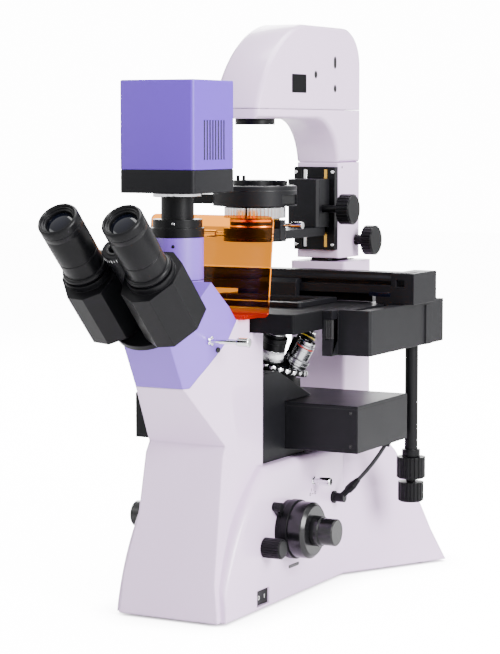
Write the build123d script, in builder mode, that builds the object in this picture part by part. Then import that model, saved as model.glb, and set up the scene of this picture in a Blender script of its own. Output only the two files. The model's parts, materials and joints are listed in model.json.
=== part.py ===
from build123d import *
import os
from math import cos, pi, radians, sin, sqrt, tan

# Inverted microscope with an epi-fluorescence unit and a digital camera.
# Millimetres. X = 0 is the plane of symmetry, +X the side with the focus knobs,
# -Y the operator, +Z up. The optical axis is X = 0, Y = 0, and the bench is Z = 0.

os.makedirs("parts", exist_ok=True)

# Clearances
running = 0.05          # radial play of a shaft in its bore
slide_play = 0.2        # play of a flat slide in its guide
face_gap = 0.3          # gap between faces of pieces that move past each other

# Stand casting
foot_height = 3.0
foot_r = 12.0
foot_front_x = 42.0
foot_front_y = -150.0
foot_rear_x = 95.0
foot_rear_y = 190.0
plate_thick = 2.0
body_half = 60.0        # half width of the lower body
body_top = 140.0        # top of its shoulders
body_kink = 85.0        # where the sides start to flare
rear_face = 212.0
flare_half = 127.0      # half width at the rear corners, on the bench
column_rear = -77.0     # rear face of the front column
column_half = body_half - 11.0      # half width of that column at the rear
column_top = 287.0
waist_z = 166.0
nose_seam = 226.0       # lower edge of the coloured head
block_half = 32.6       # rear column
block_front = 145.0
block_top = 326.0
casting = 9.0           # wall of the casting

# Focus drive, along X
focus_y = -45.0
focus_z = 73.0
pinion_r = 6.9
sleeve_r = 5.5
fine_shaft_r = 3.5
coarse_r = 28.0
coarse_length = 17.6
coarse_bevel = 3.4
fine_r = 13.4
fine_length = 23.6
tension_r = 29.5
tension_width = 7.7
lock_width = 4.7
lock_reach = 40.0
lock_angle = 139.0
guide_half = 22.0       # focus slide
guide_thick = 9.0

# Stage
stage_half = 94.0
stage_front = -100.0
stage_top = column_top + 4.0
stage_thick = 19.0
stage_ledge = 105.0     # the column steps down to the stage seat here
insert_r = 50.0
insert_thick = 2.6
insert_hole = 13.0
pocket_r = 73.0
pocket_skin = 7.0
drive_left = stage_half + 11.0      # drive box, inner face
drive_width = 35.0
drive_front = -24.6
drive_rear = 160.0
drive_height = 45.0
bracket_front = -38.0
bar_front = 58.0        # specimen bar
bar_depth = 23.0
bar_height = 22.0
bar_lift = 10.0         # its underside above the stage
bar_left = -stage_half - 31.0
guide_block_x = drive_left + 20.0
guide_block_width = 25.0
guide_block_depth = 59.0
key_width = 10.0        # key under the bar, in the groove of the drive box
key_depth = 4.0
holder_half = 66.0
holder_depth = 87.0
holder_thick = 5.0
holder_border = 12.0
post_x = drive_left + 17.0
post_y = 119.0
post_r = 6.8
post_length = 119.0
y_knob_r = 15.0
y_knob_length = 22.5
x_knob_r = 13.4
x_knob_length = 20.4
knob_step = 4.0         # gap between the two stage knobs
y_sleeve_r = 5.0
x_shaft_r = 3.0

# Nosepiece
turret_tilt = 15.0      # lean of the turret axis
turret_turn = 30.0      # direction of that lean, from +X towards +Y
seat_r = 23.0           # objective seats from the turret axis
seat_z = 240.0          # height of the working seat
turret_r = 34.0
turret_depth = 9.0
rim_flutes = 25
rim_flute_r = 1.8
objective_count = 5
thread_r = 9.9
thread_length = 4.5
pivot_r = 6.0
pivot_length = 14.0

# Binocular head, inclined 45 degrees
head_slope = 45.0
hinge_v = 64.0          # hinge axis up the sloped face
mount_n = 350.0         # sloped face from the origin, along its normal
eye_half = 33.3         # half of the distance between the eyepieces
eye_drop = 12.0         # eyepieces below the hinge axis
eyepiece_r = 19.5
eyepiece_length = 68.0
eye_barrel_r = 15.0
prism_length = 68.0
socket_r = 23.0
socket_height = 6.0
flange_r = 40.0
flange_thick = 6.0
hub_r = 20.0
hub_thick = 4.7
spindle_r = 12.0
dial_r = 13.5

# Trinocular port and camera
port_y = -158.0
port_r = 24.7
port_seam = 326.0
port_top = 366.0
port_bore = 17.0
collar_r = 25.3
mount_r = 15.6
camera_side = 80.0
camera_corner = 4.0
camera_bottom = 408.0
camera_split = 430.0
camera_top = 513.4
camera_wall = 3.0
vent_count = 8
vent_pitch = 5.4
vent_width = 2.4
vent_height = 37.0
vent_z = 457.5

# Tilting arm
arm_half = 25.5
hinge_y = 188.0
hinge_z = 348.0
hinge_r = 5.5
lug_r = 12.0
lug_half = 10.0
bracket_plate = 1.0     # lets the lower rear corner of the arm pass
arm_bottom = 330.0
arm_seam = 432.0
arm_rear = 198.0
nose_front = -43.0
nose_z = 478.0
cover_seam = nose_z + 10.0
lamp_height = 96.5      # from its underside
arm_top = nose_z + lamp_height
cover_wall = 4.0
arm_bevels = ((3.0, 15), (2.0, 45))     # depth and taper of the bands that round its long edges
tilt_knob_r = 16.0
tilt_knob_length = 12.3
field_r = 20.0
field_drop = 6.0

# Condenser
carrier_half = 18.5
carrier_front = 108.0
carrier_rear = 135.8
carrier_bottom = 364.0
carrier_top = 415.0
rack_half = 24.0
rack_front = 136.5
rack_bottom = 339.0
rack_top = 427.5
rack_rail = 9.0         # width of the two side rails
rack_base = 4.0
mount_ring_r = 31.5
mount_ring_bottom = 355.0
mount_ring_top = 368.0
neck_r = 25.0
centring_r = 2.0
left_screw_z = 361.0
right_screw_z = 371.5
neck_top = 378.2
aperture_r = 31.0
aperture_top = 390.3
drum_r = 42.5
drum_top = 411.0
slider_half = 16.0
slider_thick = 9.6
slider_z = 397.0
slider_left = -97.0
slider_right = 38.0
focus_knob_r = 16.0
focus_knob_x = 40.0
focus_knob_length = 14.5
focus_knob_y = 121.0
focus_knob_z = 383.5
condenser_shaft_r = 4.0
filter_r = 22.0
filter_thick = 5.0
filter_pivot_x = 31.0

# Fluorescence unit
lamp_half = 127.0
lamp_front = -25.0
lamp_rear = 97.0
lamp_bottom = 149.0
lamp_top = 196.0
lamp_wall = 3.0
housing_half = 47.0
housing_wall = 4.0
housing_top = 229.0
housing_shoulder = -40.0
housing_tail = 36.0

# Controls on the stand
rod_r = 2.5
head_rod_y = -169.0
head_rod_z = 270.0
body_rod_y = 13.0
body_rod_z = 112.0
body_rod_reach = 20.0   # its grip outside the body
dimmer_y = -94.0
dimmer_z = 62.0
dimmer_r = 10.0
dimmer_length = 20.0
rocker_y = -97.0
rocker_length = 25.0
rocker_height = 15.0
plug_y = 60.0
plug_z = 88.0
plug_r = 5.0
lead_r = 2.0
lead_route = ((78.5, 62.0, 98.5), (92.0, 64.7, 112.7), (106.0, 69.0, 131.0), (113.5, 72.0, 144.5))
gland_r = 4.5
gland_length = 8.0
inlet_x = -45.0
inlet_z = 45.0
inlet_width = 48.0
inlet_height = 28.0

# Shield
shield_lean = 7.0
shield_half = 67.7
shield_height = 98.0
shield_thick = 2.5
shield_foot = 25.0
shield_y = -101.0
shield_screw_x = 14.0
shield_screw_y = -112.0
shield_screw_r = 2.0


def knurled(plane, radius, length, grooves, groove_r, bore=0.0, rim=1.2):
    """A gripped knob: a fluted cylinder with a bevelled cap, along the plane's normal."""
    with BuildPart() as knob:
        with BuildSketch(plane):
            Circle(radius)
            with PolarLocations(radius, grooves):
                Circle(groove_r, mode=Mode.SUBTRACT)
        extrude(amount=length - rim)
        with BuildSketch(plane.offset(length - rim)):
            Circle(radius - groove_r)
        extrude(amount=rim, taper=30)
        if bore:
            with BuildSketch(plane):
                Circle(bore)
            extrude(amount=length, mode=Mode.SUBTRACT)
    return knob


def stepped(plane, steps, bore=0.0):
    """A turned piece: steps are (radius, start, end) along the plane's normal."""
    with BuildPart() as drum:
        for radius, start, end in steps:
            with BuildSketch(plane.offset(start)):
                Circle(radius)
            extrude(amount=end - start)
        if bore:
            first = min(step[1] for step in steps)
            last = max(step[2] for step in steps)
            with BuildSketch(plane.offset(first)):
                Circle(bore)
            extrude(amount=last - first, mode=Mode.SUBTRACT)
    return drum


def along_x(y, z, x=0.0):
    """A plane that looks along +X, centred on (x, y, z)."""
    return Plane(origin=(x, y, z), x_dir=(0, 1, 0), z_dir=(1, 0, 0))


def upright(x, y, z=0.0):
    """A level plane centred on (x, y, z)."""
    return Plane(origin=(x, y, z), x_dir=(1, 0, 0), z_dir=(0, 0, 1))


slope = radians(head_slope)
sloped = Plane(
    origin=(0, -mount_n * sin(slope), mount_n * cos(slope)),
    x_dir=(1, 0, 0),
    z_dir=(0, -sin(slope), cos(slope)),
)

# STAND
# Level sections of the front column: height, nose half width, nose Y, shoulder half width, shoulder Y.
column_sections = (
    (foot_height, column_half + 5.0, -180.0, column_half + 7.0, -150.0),
    (40.0, column_half + 1.0, -178.0, column_half + 3.0, -150.0),
    (100.0, column_half - 5.0, -158.0, column_half - 2.0, -130.0),
    (waist_z - 10.0, column_half - 6.5, -147.0, column_half - 3.5, -122.0),
    (waist_z, column_half - 7.0, -141.0, column_half - 3.0, -122.0),
    (nose_seam, 25.5, -194.0, column_half - 1.0, -146.0),
    (column_top, 25.0, -227.0, column_half - 0.5, -146.0),
    (port_seam, 25.0, -248.0, column_half - 0.5, -146.0),
)
# Side outline of the coloured head: its lower rear corner, its upper rear corner and its ridge.
head_low = (-187.0, nose_seam)
head_low_rear = (-179.0, 236.0)
head_high_rear = (-131.0, column_top - 1.0)
slope_sum = sqrt(2) * mount_n
ridge_y = (head_high_rear[0] + head_high_rear[1] - slope_sum) / 2
ridge_z = slope_sum + ridge_y

with BuildPart() as column_form:
    for height, nose_half, nose_y, shoulder_half, shoulder_y in column_sections:
        with BuildSketch(Plane.XY.offset(height)):
            with BuildLine():
                Polyline(
                    (-column_half, column_rear),
                    (-shoulder_half, shoulder_y),
                    (-nose_half, nose_y),
                    (nose_half, nose_y),
                    (shoulder_half, shoulder_y),
                    (column_half, column_rear),
                    close=True,
                )
            make_face()
    loft(ruled=True)

# The skirt flares to the rear corners: height, rear half width, front half width.
skirt_sections = (
    (foot_height, flare_half, body_half),
    (34.0, 109.5, body_half),
    (88.0, 84.5, body_half),
    (118.0, body_half + 6.5, body_half - 6.0),
    (body_top, body_half - 16.0, body_half - 16.0),
)
with BuildPart() as skirt:
    for height, rear_half, front_half in skirt_sections:
        with BuildSketch(Plane.XY.offset(height)):
            with BuildLine():
                Polyline(
                    (-front_half, body_kink),
                    (-rear_half, rear_face - 8.0),
                    (-rear_half + 6.0, rear_face),
                    (rear_half - 6.0, rear_face),
                    (rear_half, rear_face - 8.0),
                    (front_half, body_kink),
                    close=True,
                )
            make_face()
    loft(ruled=True)

cavity_half = body_half - casting - 3.0
cavity_front = -132.0
cavity_step = -96.0     # the hollow is wide from here back
cavity_rear = rear_face - casting
cavity_top = body_top - 22.0
duct_width = 2 * (column_half - 2 * casting)
guide_front = focus_y + pinion_r + 0.1
guide_rear = guide_front + guide_thick
stage_bottom = stage_top - stage_thick

with BuildPart() as stand_body:
    add(column_form.part)
    # saddle for the coloured head
    with BuildSketch(Plane.YZ):
        with BuildLine():
            Polyline(
                (-300.0, nose_seam), head_low, head_low_rear, head_high_rear,
                (head_high_rear[0], 400.0), (-300.0, 400.0), close=True,
            )
        make_face()
    extrude(amount=body_half, both=True, mode=Mode.SUBTRACT)
    # seat of the shield, and the step down to the stage seat
    with BuildSketch(Plane.XY.offset(column_top)):
        Rectangle(2 * flare_half, 600)
    extrude(amount=100, mode=Mode.SUBTRACT)
    with BuildSketch(Plane.XY.offset(stage_bottom)):
        with Locations((0, -stage_ledge)):
            Rectangle(2 * flare_half, 80, align=(Align.CENTER, Align.MIN))
    extrude(amount=100, mode=Mode.SUBTRACT)
    # lower body, its shoulders sweeping up from the front
    with BuildSketch(Plane.YZ):
        with BuildLine():
            Line((-174.0, foot_height), (-171.0, 34.0))
            ThreePointArc((-171.0, 34.0), (-140.0, 91.0), (-88.0, body_top))
            Line((-88.0, body_top), (body_kink, body_top))
            Line((body_kink, body_top), (body_kink, foot_height))
            Line((body_kink, foot_height), (-174.0, foot_height))
        make_face()
    extrude(amount=body_half, both=True)
    sides = stand_body.edges().filter_by(lambda e: abs(abs(e.center().X) - body_half) < 0.1)
    fillet(sides.filter_by(lambda e: e.center().Z > 60 and e.center().Y < body_kink - 1), radius=8.0)
    add(skirt.part)
    # rear column
    with BuildSketch(Plane.XY.offset(foot_height)):
        with Locations((0, (block_front + rear_face) / 2)):
            RectangleRounded(2 * block_half, rear_face - block_front, 4.0)
    extrude(amount=block_top - foot_height)
    # hollow casting, open underneath
    with BuildSketch(Plane.XY.offset(foot_height)):
        with Locations((0, (cavity_step + cavity_rear) / 2)):
            RectangleRounded(2 * cavity_half, cavity_rear - cavity_step, 6.0)
        with Locations((0, cavity_front)):
            Rectangle(duct_width, cavity_step + 10 - cavity_front, align=(Align.CENTER, Align.MIN))
    extrude(amount=cavity_top - foot_height, mode=Mode.SUBTRACT)
    with BuildSketch(Plane.XY.offset(cavity_top)):
        with Locations((0, (cavity_front + column_rear - casting) / 2)):
            Rectangle(duct_width, column_rear - casting - cavity_front)
    extrude(amount=nose_seam - cavity_top, mode=Mode.SUBTRACT)
    with BuildSketch(Plane.XY.offset(cavity_top)):
        with Locations((0, (block_front + rear_face) / 2)):
            Rectangle(2 * (block_half - casting), rear_face - block_front - 2 * casting)
    extrude(amount=block_top - casting - cavity_top, mode=Mode.SUBTRACT)
    # guide of the focus slide, and the way of the light down from the objective
    with BuildSketch(Plane.XY.offset(cavity_top)):
        with Locations((0, (guide_front + guide_rear) / 2)):
            Rectangle(2 * (guide_half + slide_play), guide_thick + 2 * slide_play)
        Circle(14.0)
    extrude(amount=body_top - cavity_top, mode=Mode.SUBTRACT)
    # recess of the base plate
    with BuildSketch(Plane.XY.offset(foot_height)):
        with Locations((0, (cavity_front + cavity_rear) / 2)):
            Rectangle(2 * cavity_half + 8, cavity_rear - cavity_front + 8)
    extrude(amount=plate_thick, mode=Mode.SUBTRACT)
    # bores through both sides for the focus drive
    with BuildSketch(along_x(focus_y, focus_z, -body_half)):
        Circle(sleeve_r + running)
    extrude(amount=2 * body_half, mode=Mode.SUBTRACT)
    # controls on the right side
    with BuildSketch(along_x(dimmer_y, dimmer_z, body_half)):
        Circle(3.0 + running)
    extrude(amount=-casting - 4, mode=Mode.SUBTRACT)
    with BuildSketch(along_x(body_rod_y, body_rod_z, body_half)):
        Circle(rod_r + running)
    extrude(amount=-casting - 4, mode=Mode.SUBTRACT)
    with BuildSketch(along_x(plug_y, plug_z, body_half)):
        Circle(plug_r)
    extrude(amount=-6, mode=Mode.SUBTRACT)
    with BuildSketch(along_x(-31.0, 33.0, body_half)):
        RectangleRounded(11, 3.2, 1.2)
    extrude(amount=-1.5, mode=Mode.SUBTRACT)
    with BuildSketch(along_x(rocker_y, foot_height + 3 + rocker_height / 2, body_half)):
        Rectangle(rocker_length + 1.0, rocker_height + 1.0)
    extrude(amount=-8, mode=Mode.SUBTRACT)
    # inlet at the rear
    with BuildSketch(Plane.XZ.offset(-rear_face)):
        with Locations((inlet_x, inlet_z)):
            Rectangle(inlet_width, inlet_height)
    extrude(amount=20, mode=Mode.SUBTRACT)
    # threads of the shield screws
    with BuildSketch(Plane.XY.offset(column_top)):
        with Locations((-shield_screw_x, shield_screw_y), (shield_screw_x, shield_screw_y)):
            Circle(shield_screw_r + running)
    extrude(amount=-9, mode=Mode.SUBTRACT)

with BuildPart() as base_plate:
    with BuildSketch(Plane.XY.offset(foot_height)):
        with Locations((0, (cavity_front + cavity_rear) / 2)):
            Rectangle(2 * cavity_half + 7.6, cavity_rear - cavity_front + 7.6)
    extrude(amount=plate_thick)

with BuildPart() as rubber_feet:
    with BuildSketch():
        with Locations(
            (-foot_front_x, foot_front_y), (foot_front_x, foot_front_y),
            (-foot_rear_x, foot_rear_y), (foot_rear_x, foot_rear_y),
        ):
            Circle(foot_r)
    extrude(amount=foot_height)

# HEAD
with BuildPart() as head_housing:
    add(column_form.part)
    with BuildSketch(Plane.YZ):
        with BuildLine():
            Polyline(
                (nose_seam - slope_sum, nose_seam), head_low, head_low_rear, head_high_rear,
                (ridge_y, ridge_z), close=True,
            )
        make_face()
    extrude(amount=body_half, both=True, mode=Mode.INTERSECT)
    with BuildSketch(upright(0, port_y, head_high_rear[1])):
        Circle(port_r)
    extrude(amount=port_seam - head_high_rear[1])
    with BuildSketch(upright(0, port_y, nose_seam + 12)):
        Circle(port_bore)
    extrude(amount=port_seam - nose_seam - 12, mode=Mode.SUBTRACT)
    with BuildSketch(sloped):
        with Locations((0, hinge_v)):
            Circle(spindle_r + 2)
    extrude(amount=-45, mode=Mode.SUBTRACT)
    with BuildSketch(along_x(head_rod_y, head_rod_z)):
        Circle(rod_r + running)
    extrude(amount=body_half, mode=Mode.SUBTRACT)

trinocular_tube = stepped(upright(0, port_y), [(port_r, port_seam, port_top)], port_bore)

camera_adapter = stepped(
    upright(0, port_y),
    [
        (collar_r, port_top, port_top + 9),
        (collar_r - 1.8, port_top + 9, port_top + 17),
        (mount_r, port_top + 17, camera_bottom - 4),
        (23.0, camera_bottom - 4, camera_bottom),
    ],
    12.7,
)

with BuildPart() as camera_base:
    with BuildSketch(upright(0, port_y, camera_bottom)):
        RectangleRounded(camera_side, camera_side, camera_corner)
        Circle(12.7, mode=Mode.SUBTRACT)
    extrude(amount=camera_split - camera_bottom)

with BuildPart() as camera_housing:
    with BuildSketch(upright(0, port_y, camera_split)):
        RectangleRounded(camera_side, camera_side, camera_corner)
    extrude(amount=camera_top - camera_split)
    chamfer(camera_housing.faces().sort_by(Axis.Z)[-1].edges(), length=1.0)
    with BuildSketch(upright(0, port_y, camera_split)):
        RectangleRounded(camera_side - 2 * camera_wall, camera_side - 2 * camera_wall, 1.5)
    extrude(amount=camera_top - camera_split - camera_wall, mode=Mode.SUBTRACT)
    with BuildSketch(along_x(port_y, vent_z, -camera_side)):
        with GridLocations(vent_pitch, 1, vent_count, 1):
            Rectangle(vent_width, vent_height)
    extrude(amount=2 * camera_side, mode=Mode.SUBTRACT)

dial_plane = Plane(origin=sloped.from_local_coords((0, hinge_v, 0)), x_dir=(1, 0, 0), z_dir=sloped.z_dir)
dial_start = prism_length + 20
hinge_spindle = stepped(
    dial_plane,
    [
        (flange_r, 0, flange_thick),
        (spindle_r, flange_thick, dial_start),
        (dial_r, dial_start, dial_start + 9),
    ],
    7.0,
)
with BuildPart() as binocular_flange:
    add(hinge_spindle.part)
    # the rim makes room for the port behind it
    with BuildSketch(upright(0, port_y, nose_seam)):
        Circle(port_r + face_gap)
    extrude(amount=port_seam - nose_seam, mode=Mode.SUBTRACT)

prism_start = flange_thick + face_gap
prism_outline = (
    (2.0, 3.5), (2.0, 0.0), (10.5, -35.0), (26.0, -44.0), (43.0, -42.0), (58.5, -20.0), (58.5, 4.0),
    (44.0, 17.0), (7.5, 17.0),
)
eye_top = prism_start + prism_length + socket_height


def prism_housing(side):
    """One half of the binocular: a faceted prism housing on a hub ring, with the eyepiece socket."""
    hub = prism_start if side > 0 else prism_start + hub_thick + face_gap
    other = prism_start + hub_thick + face_gap if side > 0 else prism_start
    with BuildPart() as half:
        with BuildSketch(dial_plane.offset(prism_start)):
            with BuildLine():
                Polyline([(side * x, v) for x, v in prism_outline], close=True)
            make_face()
        extrude(amount=prism_length)
        rear_edges = half.faces().sort_by(Axis(dial_plane.origin, dial_plane.z_dir))[0].edges()
        outer_edges = rear_edges.filter_by(lambda e: dial_plane.to_local_coords(e.center()).X * side > 13)
        chamfer(outer_edges, length=5.0)
        with BuildSketch(dial_plane.offset(prism_start + prism_length)):
            with Locations((side * eye_half, -eye_drop)):
                Circle(socket_r)
        extrude(amount=socket_height)
        with BuildSketch(dial_plane.offset(other - face_gap)):
            Circle(hub_r + face_gap)
        extrude(amount=hub_thick + 2 * face_gap, mode=Mode.SUBTRACT)
        with BuildSketch(dial_plane.offset(hub)):
            Circle(hub_r)
        extrude(amount=hub_thick)
        with BuildSketch(dial_plane.offset(prism_start)):
            Circle(spindle_r + running)
        extrude(amount=prism_length, mode=Mode.SUBTRACT)
        with BuildSketch(dial_plane.offset(eye_top)):
            with Locations((side * eye_half, -eye_drop)):
                Circle(eye_barrel_r + running)
        extrude(amount=-30, mode=Mode.SUBTRACT)
    return half


def eyepiece(side):
    """An eyepiece: the barrel in the socket, the sleeve, the dioptre ring and the eye lens recess."""
    centre = dial_plane.from_local_coords((side * eye_half, -eye_drop, eye_top))
    plane = Plane(origin=centre, x_dir=(1, 0, 0), z_dir=dial_plane.z_dir)
    with BuildPart() as ocular:
        for radius, start, end in (
            (eye_barrel_r, -28.0, face_gap),
            (eyepiece_r, face_gap, 22.0),
            (eyepiece_r - 0.6, 22.0, 23.0),
            (eyepiece_r, 23.0, eyepiece_length),
        ):
            with BuildSketch(plane.offset(start)):
                Circle(radius)
            extrude(amount=end - start)
        chamfer(ocular.faces().sort_by(Axis(plane.origin, plane.z_dir))[-1].edges(), length=1.6)
        with BuildSketch(plane.offset(eyepiece_length)):
            Circle(13.0)
        extrude(amount=-5, mode=Mode.SUBTRACT)
        with BuildSketch(plane.offset(-28.0)):
            Circle(12.5)
        extrude(amount=26, mode=Mode.SUBTRACT)
    return ocular


prism_right = prism_housing(1)
prism_left = prism_housing(-1)
eyepiece_right = eyepiece(1)
eyepiece_left = eyepiece(-1)

rod_start = 12.0


def pull_rod(y, z, inner, outer):
    """A chrome pull rod along X with a gripped end."""
    with BuildPart() as rod:
        with BuildSketch(along_x(y, z, inner)):
            Circle(rod_r)
        extrude(amount=outer - inner)
        with BuildSketch(along_x(y, z, outer - 12)):
            Circle(4.4)
        extrude(amount=12)
        chamfer(rod.faces().sort_by(Axis.X)[-1].edges(), length=0.8)
    return rod


head_pull_rod = pull_rod(head_rod_y, head_rod_z, rod_start, 83.0)
body_pull_rod = pull_rod(body_rod_y, body_rod_z, cavity_half - 4, body_half + body_rod_reach)

# SHIELD
shield_plane = Plane(
    origin=(0, shield_y, column_top), x_dir=(1, 0, 0),
    z_dir=(0, -cos(radians(shield_lean)), sin(radians(shield_lean))),
)
with BuildPart() as amber_shield:
    with BuildSketch(shield_plane):
        with Locations((0, shield_height / 2)):
            RectangleRounded(2 * shield_half, shield_height, 6.0)
    extrude(amount=shield_thick)
    with BuildSketch(Plane.XY.offset(column_top)):
        with Locations((0, shield_y - shield_thick)):
            Rectangle(2 * shield_half - 24, shield_foot, align=(Align.CENTER, Align.MAX))
        with Locations((0, shield_y)):
            Rectangle(2 * shield_half - 24, shield_thick + 1, align=(Align.CENTER, Align.MAX))
        with Locations((-shield_screw_x, shield_screw_y), (shield_screw_x, shield_screw_y)):
            Circle(shield_screw_r + running, mode=Mode.SUBTRACT)
    extrude(amount=shield_thick)
    with BuildSketch(Plane.XY.offset(column_top)):
        Rectangle(400, 400)
    extrude(amount=-20, mode=Mode.SUBTRACT)

foot_top = column_top + shield_thick
with BuildPart() as shield_screws:
    for radius, start, end in ((shield_screw_r, column_top - 8, foot_top), (4.6, foot_top, foot_top + 7.5)):
        with BuildSketch(Plane.XY.offset(start)):
            with Locations((-shield_screw_x, shield_screw_y), (shield_screw_x, shield_screw_y)):
                Circle(radius)
        extrude(amount=end - start)

# STAGE
with BuildPart() as stage_plate:
    with BuildSketch(Plane.XY.offset(stage_bottom)):
        with BuildLine():
            FilletPolyline(
                (-stage_half, stage_front), (stage_half, stage_front),
                (stage_half, block_front), (-stage_half, block_front),
                radius=3.0, close=True,
            )
        make_face()
    extrude(amount=stage_thick)
    chamfer(stage_plate.faces().sort_by(Axis.Z)[-1].edges(), length=0.8)
    with BuildSketch(Plane.XY.offset(stage_bottom)):
        Circle(pocket_r)
    extrude(amount=stage_thick - pocket_skin, mode=Mode.SUBTRACT)
    with BuildSketch(Plane.XY.offset(stage_bottom)):
        Circle(insert_r - 3)
    extrude(amount=stage_thick, mode=Mode.SUBTRACT)
    with BuildSketch(Plane.XY.offset(stage_top - insert_thick)):
        Circle(insert_r)
    extrude(amount=insert_thick, mode=Mode.SUBTRACT)

stage_insert = stepped(
    Plane.XY, [(insert_r - running, stage_top - insert_thick, stage_top)], insert_hole
)

drive_right = drive_left + drive_width
drive_bottom = stage_top - drive_height
key_x = drive_left + drive_width / 2
with BuildPart() as drive_box:
    with BuildSketch(Plane.XY.offset(drive_bottom)):
        with BuildLine():
            Polyline(
                (drive_left, drive_front), (drive_right - 2, drive_front), (drive_right, drive_front + 2),
                (drive_right, drive_rear), (drive_left, drive_rear), close=True,
            )
        make_face()
    extrude(amount=drive_height - face_gap)
    # plate that carries it on the side of the stage
    with BuildSketch(Plane.XY.offset(drive_bottom)):
        with Locations((stage_half, bracket_front)):
            Rectangle(
                drive_left - stage_half, drive_rear - bracket_front - 20, align=(Align.MIN, Align.MIN)
            )
    extrude(amount=drive_height - face_gap)
    with BuildSketch(Plane.XY.offset(stage_top - 29)):
        with Locations((stage_half + 3, bracket_front)):
            Rectangle(drive_left - stage_half - 3, 13, align=(Align.MIN, Align.MIN))
    extrude(amount=20, mode=Mode.SUBTRACT)
    # groove of the key under the specimen bar
    with BuildSketch(Plane.XY.offset(stage_top - face_gap)):
        with Locations((key_x, drive_front + 6)):
            Rectangle(
                key_width + 2 * slide_play, drive_rear - drive_front - 6, align=(Align.CENTER, Align.MIN)
            )
    extrude(amount=-key_depth - slide_play, mode=Mode.SUBTRACT)
    # rib over the drop-down post
    with BuildSketch(Plane.XY.offset(drive_bottom)):
        with Locations((drive_right, post_y)):
            Rectangle(3.0, 16.0)
    extrude(amount=drive_height - 4)
    with BuildSketch(Plane.XY.offset(drive_bottom)):
        with Locations((post_x, post_y)):
            Circle(y_sleeve_r + running)
    extrude(amount=12, mode=Mode.SUBTRACT)

post_bottom = drive_bottom - post_length
drive_post = stepped(
    upright(post_x, post_y),
    [(post_r, post_bottom, drive_bottom), (9.5, post_bottom, post_bottom + 7.5)],
    y_sleeve_r + running,
)
y_knob_top = post_bottom - face_gap
y_knob_bottom = y_knob_top - y_knob_length
with BuildPart() as stage_y_knob:
    add(
        knurled(
            Plane(origin=(post_x, post_y, y_knob_top), x_dir=(1, 0, 0), z_dir=(0, 0, -1)),
            y_knob_r, y_knob_length, 20, 0.9, 0.0,
        ).part
    )
    with BuildSketch(upright(post_x, post_y, y_knob_bottom - knob_step + face_gap)):
        Circle(y_sleeve_r)
    extrude(amount=drive_bottom + 10 - y_knob_bottom + knob_step - face_gap)
    with BuildSketch(upright(post_x, post_y, y_knob_bottom - 20)):
        Circle(x_shaft_r + running)
    extrude(amount=drive_bottom + 60 - y_knob_bottom, mode=Mode.SUBTRACT)
with BuildPart() as stage_x_knob:
    add(
        knurled(
            Plane(origin=(post_x, post_y, y_knob_bottom - knob_step), x_dir=(1, 0, 0), z_dir=(0, 0, -1)),
            x_knob_r, x_knob_length, 20, 0.9, 0.0,
        ).part
    )
    with BuildSketch(upright(post_x, post_y, y_knob_bottom - knob_step)):
        Circle(x_shaft_r)
    extrude(amount=drive_bottom + 8 - y_knob_bottom + knob_step)

bar_bottom = stage_top + bar_lift
bar_top = bar_bottom + bar_height
guide_block_right = guide_block_x + guide_block_width
groove_z = bar_bottom + 9.0
with BuildPart() as specimen_bar:
    with BuildSketch(Plane.YZ.offset(bar_left)):
        with BuildLine():
            Polyline(
                (bar_front, bar_bottom), (bar_front, bar_top - 6), (bar_front + 2, bar_top - 3),
                (bar_front + 2, bar_top), (bar_front + bar_depth, bar_top),
                (bar_front + bar_depth, bar_bottom), close=True,
            )
        make_face()
        with Locations((bar_front, groove_z)):
            Rectangle(8.0, 4.4, align=(Align.MIN, Align.MIN), mode=Mode.SUBTRACT)
    extrude(amount=guide_block_right - 6 - bar_left)
    with BuildSketch(Plane.XY.offset(stage_top)):
        with Locations((guide_block_x, bar_front)):
            Rectangle(guide_block_width, guide_block_depth, align=(Align.MIN, Align.MIN))
    extrude(amount=bar_top - stage_top - 0.5)
    with BuildSketch(Plane.XY.offset(stage_top)):
        with Locations((drive_left + 3, bar_front)):
            Rectangle(guide_block_x - drive_left, bar_depth, align=(Align.MIN, Align.MIN))
    extrude(amount=bar_lift)
    with BuildSketch(Plane.XY.offset(stage_top)):
        with Locations((key_x, bar_front)):
            Rectangle(key_width, guide_block_depth, align=(Align.CENTER, Align.MIN))
    extrude(amount=-key_depth)
    with BuildSketch(Plane.XZ.offset(-bar_front)):
        with Locations((guide_block_right - 15, bar_top - 11)):
            Rectangle(9, 7)
    extrude(amount=-6, mode=Mode.SUBTRACT)

holder_rear = bar_front - face_gap
holder_front = holder_rear - holder_depth
holder_bottom = stage_top + face_gap
with BuildPart() as specimen_holder:
    with BuildSketch(Plane.XY.offset(holder_bottom)):
        with Locations((0, (holder_front + holder_rear) / 2)):
            RectangleRounded(2 * holder_half, holder_depth, 4.0)
        with Locations((0, (holder_front + holder_rear) / 2 - 4)):
            RectangleRounded(2 * (holder_half - holder_border), holder_depth - 2 * holder_border - 4, 3.0,
                             mode=Mode.SUBTRACT)
    extrude(amount=holder_thick)
    # runner that hangs in the groove of the bar
    with BuildSketch(Plane.YZ.offset(-22)):
        with BuildLine():
            Polyline(
                (holder_rear - 9, holder_bottom), (holder_rear, holder_bottom),
                (holder_rear, groove_z + slide_play),
                (holder_rear + 6, groove_z + slide_play), (holder_rear + 6, groove_z + 4.2),
                (holder_rear - 4, groove_z + 4.2), (holder_rear - 9, groove_z), close=True,
            )
        make_face()
    extrude(amount=44)

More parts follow.
